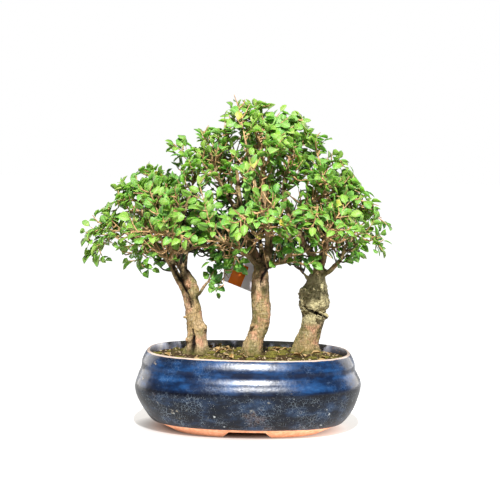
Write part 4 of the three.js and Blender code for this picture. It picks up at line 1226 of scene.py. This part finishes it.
def spray_mesh(spray, crown):
    """The spray with its plan's leaves in their places and finer growth between them."""
    draw = draws(spray.seed * 7919)
    facing = spray.frame[1]
    stem_points = [spray.place(x * spray.length, 0, 0) for x in (-0.03, 0.2, 0.4, 0.6, 0.8)]
    main = Shoot([*stem_points, spray.place(spray.length - 8, 0, 0)], 1.05, 0.45, facing)
    leaves = []
    solid_leaves(spray, spray.plan, 0, leaves)
    planned = len(leaves)
    roots = [leaf[0] for leaf in leaves]
    shoots = [main]
    leaves += leaves_along(main, draw, 5, 6, LEAF_SIZE, roots)[:-1]
    for part in spray.plan.growth:
        if part.width:
            continue
        points = [
            spray.place(*on_stem(part, along, 0), part.lean * along)
            for along in (0, part.length / 2, part.length)
        ]
        shoots.append(Shoot(points, 0.7, 0.4, facing))
        leaves += leaves_along(shoots[-1], draw, 4, 5.5, LEAF_SIZE, roots)[:-1]
    for shoot in side_shoots(spray, draw):
        shoots.append(shoot)
        leaves += leaves_along(shoot, draw, 3.5, 5, LEAF_SIZE)
    return leafy_mesh(leaves, planned, shoots, crown, draw)


def seen_at(places):
    """Where places show from the front, on the upright plane through the pot's middle."""
    nearer = -EYE[1] / (places[..., 1] - EYE[1])
    return np.stack([places[..., 0] * nearer, EYE[2] + (places[..., 2] - EYE[2]) * nearer], -1)


class Clearing:
    """The limbs that a grower keeps in sight from the front by pruning what hides them."""

    def __init__(self, trees):
        limbs = [limb for tree in trees for limb in tree.limbs if not limb.thin]
        self.places = np.vstack([limb.curve.spaced(round(limb.curve.length / 3)) for limb in limbs])
        self.seen = seen_at(self.places)

    def hidden_by(self, place):
        near = np.linalg.norm(self.seen - seen_at(place), axis=1) < CLEARING_WIDTH
        return (near & (self.places[:, 1] - place[1] > 2)).any()


def stays(middle, planned, crown, draw):
    """Whether a leaf stays on: it has room, is in the crown, and isn't pruned or picked off. Leaves
    of the spray's own plan aren't pruned."""
    inside = (middle > CROWN_LOW).all() and (middle < CROWN_HIGH).all()
    if crown.woods.room(middle[None]) < 1.5 or not inside:
        return False
    beyond = past_edge(middle)
    if beyond > EDGE_SLACK:
        return False
    hides_limb = crown.clearing.hidden_by(middle)
    pruned = PRUNED["hides_limb" if hides_limb else "front" if middle[1] < FRONT_Y else "other"]
    pruned *= 0.5 if middle[2] < LOW_LEAF_Z else 1
    if beyond > 0:
        pruned = max(pruned, PRUNED["past_edge"])
    if not planned and draw() < pruned:
        return False
    window = window_at(middle)
    return window is None or draw() <= window["kept"]


def tone_at(middle, draw):
    """A leaf's tone at random, with painted light towards the crown's skin and painted shade deep in the
    crown. One in fifty has turned.
    """
    out = np.linalg.norm((middle - CROWN_HEART) * (0.9, 1.2, 1))
    # Painted shade: leaves deep in the crown, behind its front and above its low forks, are darkened.
    painted_crown_shade = (1 - share_of_way(out, 62, 100)) * share_of_way(middle[1], -30, -5)
    painted_crown_shade *= share_of_way(middle[2], 176, 188)
    # Painted light: leaves are lighter the further out from the crown's heart they are.
    lit_and_shaded_tone = (mix(0.22, 0.5, draw()) + 0.34 * share_of_way(out, 60, 170)) * (1 - 0.95 * painted_crown_shade)
    return mix(0.9, 1, draw()) if draw() < 0.02 else lit_and_shaded_tone


def leafy_mesh(leaves, planned, shoots, crown, draw):
    """One mesh of the leaves that stay on, the first ones planned, and of the shoots' wood."""
    bm = bmesh.new()
    for number, (root, way, face, length, width) in enumerate(leaves):
        middle = root + 0.6 * length * unit(way)
        if not stays(middle, number < planned, crown, draw):
            continue
        tone = float(tone_at(middle, draw))
        blade = pick(crown.blades, draw).copy()
        blade.transform(blade_matrix(root, way, face, length, width))
        blade.attributes["tone"].data.foreach_set("value", [tone] * len(blade.vertices))
        add_mesh(bm, blade)
    add_mesh(bm, grown_tubes([(shoot.points, shoot.radii) for shoot in shoots], 0), 1)
    return mesh_of(bm)


# Trees

# Roots from the trunk's foot into the soil: how far out, in radii of the foot, and how far up
ROOT_STEPS = [(0.35, 12), (0.6, 4), (0.82, -2), (0.98, -7), (1.1, -13)]
# How rough each tree's bark is
BARK_RELIEF = {"left": 0.5, "middle": 0.35, "right": 0.55}
# The height that the full bark ends at; above it the limbs' bark is thin
BARK_TOP = 190


def smoothed(stations, steps):
    """Places and radii at even steps along a row of (x, y, z, radius)."""
    line = Line([station[:3] for station in stations])
    at = np.linspace(0, 1, steps + 1)
    knots = np.interp(np.linspace(0, 1, len(stations)), line.parts, line.lengths) / line.length
    return line.at(at), np.interp(at, knots, [station[3] for station in stations])


def root_flares(tree):
    """Roots that run out from the trunk's foot and dive into the soil."""
    x, y, z, radius = tree.plan["trunk"][1]
    strands = []
    for turn, swell in tree.plan["flares"]:
        angle = math.radians(turn)
        way = np.array((math.cos(angle), math.sin(angle), 0))
        curve = Line([np.array((x, y, z + rise)) + way * radius * out for out, rise in ROOT_STEPS])
        strands.append((curve.spaced(10), np.linspace(0.36 * radius, 0.2 * radius, 11) + swell * 0.2))
    return strands


def burl_mesh():
    bm = bmesh.new()
    bmesh.ops.create_uvsphere(bm, u_segments=32, v_segments=20, radius=1)
    for vert in bm.verts:
        vert.co /= sum(abs(part) ** BURL["power"] for part in vert.co) ** (1 / BURL["power"])
    bmesh.ops.scale(bm, vec=BURL["size"], verts=bm.verts)
    bmesh.ops.rotate(bm, cent=(0, 0, 0), matrix=Matrix.Rotation(-BURL["tilt"], 3, "Y"), verts=bm.verts)
    bmesh.ops.translate(bm, vec=BURL["centre"], verts=bm.verts)
    return mesh_of(bm)


def knob_mesh(knobs):
    bm = bmesh.new()
    for x, y, z, radius in knobs:
        bmesh.ops.create_icosphere(bm, subdivisions=2, radius=radius, matrix=Matrix.Translation((x, y, z)))
    return mesh_of(bm)


def weathered(mesh, tree):
    """Knobs, upright flutes and cracks in the bark, and a mark that darkens the cracks and paints shade into
    the clefts and round the fork.
    """
    relief = BARK_RELIEF[tree.name]
    bm = bmesh.new()
    bm.from_mesh(mesh)
    bpy.data.meshes.remove(mesh)
    bm.normal_update()
    cracks_and_painted_shade = bm.verts.layers.float.new("cracks_and_painted_shade")
    trunk = Line([station[:3] for station in tree.plan["trunk"]])
    spine = Crowd([trunk.spaced(24)], [0])
    off_spine = to_stretches(np.array([vert.co[:] for vert in bm.verts]), spine.starts, spine.ways).min(1)
    clefts = [
        (Line([(x, width, z) for x, z, width in line]).spaced(24), depth) for line, depth in CLEFTS[tree.name]
    ]
    fork = Vector(tree.plan["trunk"][-1][:3]) + Vector((0, 0, FORK_SHADE[tree.name]["above"]))
    for vert, off in zip(bm.verts, off_spine):
        place = vert.co
        stout = share_of_way(off, 24, 10) if place.z < BARK_TOP else 0.25
        flutes = noise.noise(Vector((place.x * 0.16, place.y * 0.16, place.z * 0.035)))
        knobs = noise.noise(place * 0.09 + Vector((7, 1, 3)))
        ripples = noise.noise(place * 0.35)
        upright = Vector((place.x * 0.2, place.y * 0.2, place.z * 0.06))
        crack = max(0.0, 1 - abs(noise.noise(upright + Vector((3, 9, 1)))) / 0.05)
        lift = stout * (1.3 * flutes + relief * 2.8 * knobs + 0.5 * ripples - 1.4 * crack * relief)
        lift += 0.25 * ripples
        if tree.name == "right":
            folds = noise.noise(place * 0.13 + Vector((0, 4, 8)))
            pits = noise.noise(place * 0.42 + Vector((2, 4, 8)))
            off_burl = (place - Vector(BURL["centre"])).length
            lift += share_of_way(off_burl, 24, 19) * (2.1 * folds + 2 * pits)
        dark = stout * crack * 0.4
        for line, depth in clefts:
            off_line = np.hypot(line[:, 0] - place.x, line[:, 2] - place.z) + 0.9 * ripples
            nearest = off_line.argmin()
            slit = max(0.0, 1.15 - off_line[nearest] / line[nearest, 1]) if vert.normal.y < 0.2 else 0
            lift -= depth * min(1, slit)
            # Painted shade in the cleft.
            dark = max(dark, min(1, 1.6 * slit))
        # Painted shade round the fork, under the crown.
        near_fork = max(0, 1 - (place - fork).length / FORK_SHADE[tree.name]["radius"])
        dark = max(dark, min(0.85, near_fork * (1.3 + 1.6 * knobs)))
        vert[cracks_and_painted_shade] = min(1, dark)
        vert.co += vert.normal * lift
    return mesh_of(bm)


def tree_mesh(tree):
    """One tree's wood: trunk, roots, limbs, knobs and burl grown into one skin, and thin branches."""
    stout = [smoothed(tree.plan["trunk"], 30), *root_flares(tree)]
    thin = []
    for limb in tree.limbs:
        count = max(4, math.ceil(limb.curve.length / 5))
        radii = np.linspace(limb.start, limb.end, count + 1)
        (thin if limb.thin else stout).append((limb.curve.spaced(count), radii))
    if tree.name == "left":
        web = np.array(STEM_WEB, float)
        stout.append((web[:, :3], web[:, 3]))
    core = joined(grown_tubes(stout, 4), knob_mesh(KNOBS[tree.name]))
    if tree.name == "right":
        core = joined(core, burl_mesh())
    core = applied(
        core, ("REMESH", {"mode": "VOXEL", "voxel_size": 1.0}), ("SMOOTH", {"factor": 0.5, "iterations": 4}),
    )
    return joined(weathered(core, tree), grown_tubes(thin, 1))


# Pot and soil

# The soil's half length and half width at its top, and its rings from the floor up with height and
# lean
SOIL_TOP = (113.3, 82.3)
SOIL_BODY = [(99, 68, 17.2, 0), (112.5, 81.5, 30, 0), (120.3, 89.3, 50, 0), (*SOIL_TOP, 80, 0)]
# How far the soil has settled, and the rise and scale of the clumps on it
SOIL_SETTLED = 0.9
SOIL_CLUMPS = [(0.9, 0.07), (0.7, 0.2), (0.35, 0.6)]
# The oval that the soil's crown falls to, and the one that the litter lies in
SOIL_DOME = (113.7, 82.7)
LITTER_OVAL = (113, 82)
LITTER = {"grit": 520, "moss": 90, "dry_leaves": 46}


def on_ring(cosine, sine, half_length, half_width):
    power = 2 / OVAL_POWER
    return (math.copysign(abs(cosine) ** power, cosine) * half_length,
            math.copysign(abs(sine) ** power, sine) * half_width)


def oval_reach(x, y, half):
    """1 on the oval's edge and less inside it, before the root is taken."""
    return abs(x / half[0]) ** OVAL_POWER + abs(y / half[1]) ** OVAL_POWER


def lofted(rings, columns):
    """A closed skin drawn from ring to ring, each a half length, half width, height and lean."""
    bm = bmesh.new()
    first = bmesh.ops.create_circle(bm, segments=columns, radius=1)["verts"]
    turns = [math.atan2(vert.co.y, vert.co.x) for vert in first]

    def settle(verts, ring):
        half_length, half_width, height, lean = ring
        for vert, turn in zip(verts, turns):
            x, y = on_ring(math.cos(turn), math.sin(turn), half_length, half_width)
            vert.co = (x, y, height + lean * RIDGE_LEAN * x)

    settle(first, rings[0])
    edges = bm.edges[:]
    row = first
    for ring in rings[1:]:
        grown = bmesh.ops.extrude_edge_only(bm, edges=edges)["geom"]
        verts = {part for part in grown if isinstance(part, bmesh.types.BMVert)}
        edges = [
            part for part in grown if isinstance(part, bmesh.types.BMEdge) and verts.issuperset(part.verts)
        ]
        row = [
            next(edge.other_vert(old) for edge in old.link_edges if edge.other_vert(old) in verts)
            for old in row
        ]
        settle(row, ring)
    bm.faces.new(first)
    bm.faces.new(row)
    bmesh.ops.recalc_face_normals(bm, faces=bm.faces)
    return bm


def wall_rings(stations, steps):
    """Rings along a smooth wall through stations of height, inset and lean."""
    line = Line([(inset, height, lean * 4) for height, inset, lean in stations])
    return [
        (POT_HALF_LENGTH - inset, POT_HALF_WIDTH - inset, height, lean / 4)
        for inset, height, lean in line.spaced(steps)
    ]


def foot_cut(cuts, width, length, turn, low):
    """A bar, narrower at its top, that cuts a gap through the foot on two sides."""
    cut = bmesh.ops.create_cube(cuts, size=1)["verts"]
    for vert in cut:
        top = vert.co.z > 0
        across = width / 2 - (FOOT_CUT["slant"] if top else 0)
        height = FOOT_CUT["height"] if top else low
        vert.co = (math.copysign(across, vert.co.x), vert.co.y * length, height)
    bmesh.ops.rotate(cuts, cent=(0, 0, 0), matrix=Matrix.Rotation(turn, 3, "Z"), verts=cut)


def pot_mesh():
    """The pot's skin, up the inside and down the outside, with its drains and foot cut out."""
    inner = wall_rings(INNER_WALL, 26)
    outer = wall_rings(OUTER_WALL, 70)
    foot_length, foot_width = POT_HALF_LENGTH - FOOT_INSET[0], POT_HALF_WIDTH - FOOT_INSET[1]
    foot = [
        (foot_length - inward, foot_width - inward, height, 0)
        for inward, height in ((0, 0), (FOOT_RING_WIDTH, 0), (FOOT_RING_WIDTH + 3, FLOOR_UNDERSIDE))
    ]
    pot = mesh_of(lofted([*inner[::-1], *outer[::-1], *foot], 144))
    cuts = bmesh.new()
    for x in (-DRAIN_X, DRAIN_X):
        bmesh.ops.create_cone(
            cuts, cap_ends=True, segments=40, radius1=DRAIN_RADIUS, radius2=DRAIN_RADIUS, depth=30,
            matrix=Matrix.Translation((x, 0, 12)),
        )
    foot_cut(cuts, FOOT_CUT["front"], 260, 0, -0.5)
    foot_cut(cuts, FOOT_CUT["end"], 330, math.pi / 2, -1)
    cutter = placed("cutter", mesh_of(cuts))
    pot = applied(
        pot, ("BOOLEAN", {"operation": "DIFFERENCE", "object": cutter, "solver": "EXACT", "use_self": True}),
    )
    bpy.data.objects.remove(cutter)
    for face in pot.polygons:
        faces_in = face.normal.x * face.center.x + face.normal.y * face.center.y < 0
        face.material_index = 1 if faces_in and face.center.z > FLOOR_TOP else 0
    return pot


def soil_height(x, y):
    reach = min(1.0, oval_reach(x, y, SOIL_DOME) ** (1 / OVAL_POWER))
    crown = SOIL_CROWN * (1 - reach**2)
    place = Vector((x, y, 0))
    clumps = sum(rise * noise.noise(place * scale) for rise, scale in SOIL_CLUMPS)
    return SOIL_EDGE_Z + crown - SOIL_SETTLED + clumps


def soil_mesh():
    length, width = SOIL_TOP
    top = [(length * part, width * part, SOIL_EDGE_Z, 0) for part in np.linspace(1, 0.02, 58)]
    bm = lofted([*SOIL_BODY, *top], 200)
    for vert in bm.verts:
        if vert.co.z >= SOIL_EDGE_Z - 0.01:
            vert.co.z = soil_height(vert.co.x, vert.co.y)
    return mesh_of(bm)


def litter_mesh(blades, trees):
    """Grit, moss cushions and dry curled leaves on the soil."""
    draw = draws(4242)
    bm = bmesh.new()
    feet = [tree.plan["trunk"][1] for tree in trees]
    half_length, half_width = LITTER_OVAL

    def spot():
        while True:
            x = mix(1 - half_length, half_length - 1, draw())
            y = mix(1 - half_width, half_width - 1, draw())
            clear = all(math.hypot(x - foot[0], y - foot[1]) > foot[3] + 3 for foot in feet)
            if oval_reach(x, y, LITTER_OVAL) < 0.93 and clear:
                return x, y

    def lump(size, flat, material):
        x, y = spot()
        start = len(bm.faces)
        made = bmesh.ops.create_icosphere(bm, subdivisions=1 if size < 2.5 else 2, radius=size)["verts"]
        for vert in made:
            vert.co *= 1 + 0.5 * noise.noise(vert.co * (1.2 / size) + Vector((x, y, 0)))
            vert.co.z *= flat
            vert.co += Vector((x, y, soil_height(x, y) + 0.15 * size * flat))
        give_material(bm, start, material)

    for _ in range(LITTER["grit"]):
        lump(mix(0.6, 1.9, draw() ** 2), 0.8, 0)
    for _ in range(LITTER["moss"]):
        lump(mix(2.6, 7, draw()), 0.34, 1)
    for _ in range(LITTER["dry_leaves"]):
        x, y = spot()
        angle = 2 * math.pi * draw()
        length = mix(7, 13, draw())
        way = np.array((math.cos(angle), math.sin(angle), mix(-0.05, 0.35, draw())))
        face = np.array((mix(-0.6, 0.6, draw()), mix(-0.6, 0.6, draw()), 1))
        blade = pick(blades, draw).copy()
        root = np.array((x, y, soil_height(x, y) + 1))
        blade.transform(blade_matrix(root, way, face, length, length * 0.55))
        add_mesh(bm, blade, 2)
    return mesh_of(bm)


# Hang tag

CARD_TILT = math.radians(21)
# The plain coloured field on the card: its size, its corners, its place from the card's middle, and
# how far its own middle is before the card's face
FIELD = {"size": (16, 0.12, 25.5), "corner": 0.8, "across": -8, "up": -1.3, "before": 0.09}


def card_block_mesh():
    """The plain coloured field on the card's front, a thin plate with rounded corners."""
    low, high = (TO_FRAME.inverted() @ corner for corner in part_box("hang_tag"))
    middle = (low + high) / 2
    bm = bmesh.new()
    bmesh.ops.create_cube(bm, size=1)
    bmesh.ops.scale(bm, vec=FIELD["size"], verts=bm.verts)
    upright = [edge for edge in bm.edges if abs(edge.verts[0].co.y - edge.verts[1].co.y) > 0.05]
    bmesh.ops.bevel(
        bm, geom=upright, offset=FIELD["corner"], segments=3, profile=0.5, affect="EDGES", material=-1,
    )
    bmesh.ops.rotate(bm, cent=(0, 0, 0), matrix=Matrix.Rotation(CARD_TILT, 3, "Y"), verts=bm.verts)
    place = Vector((middle.x + FIELD["across"], low.y - FIELD["before"], middle.z + FIELD["up"]))
    bmesh.ops.translate(bm, vec=place, verts=bm.verts)
    return mesh_of(bm)


# Camera and studio

LENS = 113.1
SENSOR_WIDTH = 36
PITCH = math.radians(4.332)
ROLL = math.radians(1.154)
# The lights by name, place, size and power: a sunny key, a band of sky, and panels beside and behind
# that show only as mirror images. All of them face one place.
LIGHTS = [("key", (0.06, -1.8, 1.72), (0.04, 0.12), 104), ("sky_band", (0, -1.9, 1.8), (1.5, 0.16), 9)]
PANELS = [
    ("left_panel", (-1.23, 1.03, 0.5), (1.16, 1.3), 13), ("right_panel", (1.23, 1.03, 0.5), (1.16, 1.3), 13),
]
LIT_PLACE = Vector((0, 0, 0.2))
WORLD_STRENGTH = 0.14


def put_camera():
    data = bpy.data.cameras.new("camera")
    data.lens = LENS
    data.sensor_width = SENSOR_WIDTH
    data.clip_start = 0.01
    data.clip_end = 30
    ahead = Vector((0, math.cos(PITCH), -math.sin(PITCH)))
    up = Vector((0, math.sin(PITCH), math.cos(PITCH)))
    right = Vector((1, 0, 0))
    across = right * math.cos(ROLL) + up * math.sin(ROLL)
    upward = up * math.cos(ROLL) - right * math.sin(ROLL)
    made = placed("camera", data)
    turn = Matrix((across, upward, -ahead)).transposed().to_4x4()
    made.matrix_world = Matrix.Translation(TO_FRAME @ Vector(EYE)) @ turn
    bpy.context.scene.camera = made


def put_light(name, place, size, power):
    data = bpy.data.lights.new(name, "AREA")
    data.shape = "RECTANGLE"
    data.size, data.size_y = size
    data.energy = power
    made = placed(name, data)
    made.location = place
    made.rotation_euler = (LIT_PLACE - Vector(place)).to_track_quat("-Z", "Y").to_euler()
    made.visible_camera = False
    return made


def put_floor():
    """Pale paper as white as the room to the eye, dimmer and warmer close round the pot as painted shade, and
    glowing to light the pot's foot.
    """
    bm = bmesh.new()
    bmesh.ops.create_grid(bm, x_segments=2, y_segments=2, size=9)
    floor = placed("floor", mesh_of(bm, "floor"))
    floor.location.z = -0.0004
    finish = Finish("paper", roughness=0.9, specular=0.1)
    paper = finish.blend(finish.noise(3), (0, (0.34, 0.34, 0.34, 1)), (1, (0.37, 0.37, 0.37, 1)))
    finish.set("Base Color", paper)
    away = finish.vector("LENGTH", finish.vector("MULTIPLY", finish.place, (0.75, 1, 1)))
    # Painted shade: the paper's glow is dimmer and warmer close round the pot.
    shine = finish.blend(
        finish.fade(away, 0.052, 1.2), (0, (0, 0, 0, 1)), (0.004, (0.84, 0.81, 0.77, 1)),
        (0.05, (0.97, 0.97, 0.96, 1)), (0.12, (1, 1, 1, 1)),
    )
    finish.set("Emission Color", shine)
    ray = finish.node("LightPath", {}).outputs
    # A painted glow near the pot, for bounced rays only, that lights the pot's foot.
    near_pot = finish.times(finish.fade(away, 0.21, 0.13), 2.6)
    bounced = finish.times(ray["Is Diffuse Ray"], near_pot)
    mirrored = finish.times(ray["Is Glossy Ray"], 0.46)
    finish.set("Emission Strength", finish.plus(ray["Is Camera Ray"], finish.plus(bounced, mirrored)))
    floor.data.materials.append(finish.material)


def put_world():
    """A white room to the eye that lights the object only dimly, so that the key light shapes it."""
    world = bpy.data.worlds.new("studio")
    world.use_nodes = True
    nodes, links = world.node_tree.nodes, world.node_tree.links
    dim = nodes["Background"]
    dim.inputs["Strength"].default_value = WORLD_STRENGTH
    dim.inputs["Color"].default_value = (1, 0.97, 0.93, 1)
    white = nodes.new("ShaderNodeBackground")
    white.inputs["Color"].default_value = (1, 1, 1, 1)
    both = nodes.new("ShaderNodeMixShader")
    links.new(nodes.new("ShaderNodeLightPath").outputs["Is Camera Ray"], both.inputs[0])
    links.new(dim.outputs[0], both.inputs[1])
    links.new(white.outputs[0], both.inputs[2])
    links.new(both.outputs[0], nodes["World Output"].inputs["Surface"])
    bpy.context.scene.world = world


# Making

put_camera()
put_floor()
put_world()
for light in LIGHTS:
    put_light(*light)
for light in PANELS:
    panel = put_light(*light)
    panel.visible_diffuse = False
    panel.data.color = (1, 0.96, 0.9)
bpy.context.scene.view_settings.view_transform = "Standard"

leaf, twig, bark = leaf_finish(), twig_finish(), bark_finish()
grit = plain_finish("grit", (116, 96, 70), (196, 176, 140), 0.85, 160)
moss = plain_finish("moss", (58, 54, 18), (138, 130, 58), 0.95, 900, 0.0006)
dry_leaf = plain_finish("dry_leaf", (150, 112, 62), (214, 184, 132), 0.7, 200)
card = plain_finish("card", (244, 236, 244), (252, 248, 252), 0.6, 60)
orange = plain_finish("orange_field", (252, 124, 36), (255, 140, 50), 0.5, 60)
wire = plain_finish("green_wire", (44, 60, 36), (58, 76, 46), 0.45)
plastic = plain_finish("black_plastic", (22, 24, 26), (38, 40, 44), 0.5)

trees = grow()
crown = SimpleNamespace(
    woods=plan_fans(trees), clearing=Clearing(trees), blades=[leaf_template(*bends) for bends in BLADES],
)
for tree in trees:
    piece(f"{tree.name}_wood", tree_mesh(tree), "bark", [bark], f"{tree.name}_tree")
for tree in trees:
    piece(f"{tree.name}_inner_twigs", inner_growth(tree, crown), "leaf", [leaf, twig])
    for spray in tree.sprays:
        piece(f"{spray.name}_leaves", spray_mesh(spray, crown), "leaf", [leaf, twig], spray.name)

pot = piece("glazed_pot", pot_mesh(), "glaze", [glaze_finish(), inner_wall_finish()], "pot")
pot.data.set_sharp_from_angle(angle=math.radians(38))
piece("soil_bed", soil_mesh(), "soil", [soil_finish()], "soil")
piece("card_block", card_block_mesh(), "card", [orange])
piece("soil_litter", litter_mesh(crown.blades, trees), "soil", [grit, moss, dry_leaf])

for name, material in (
    ("hang_tag", card), ("tag_tie", wire), ("drain_screen_left", plastic), ("drain_screen_right", plastic),
):
    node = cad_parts[name]
    node.data.materials.clear()
    node.data.materials.append(material)
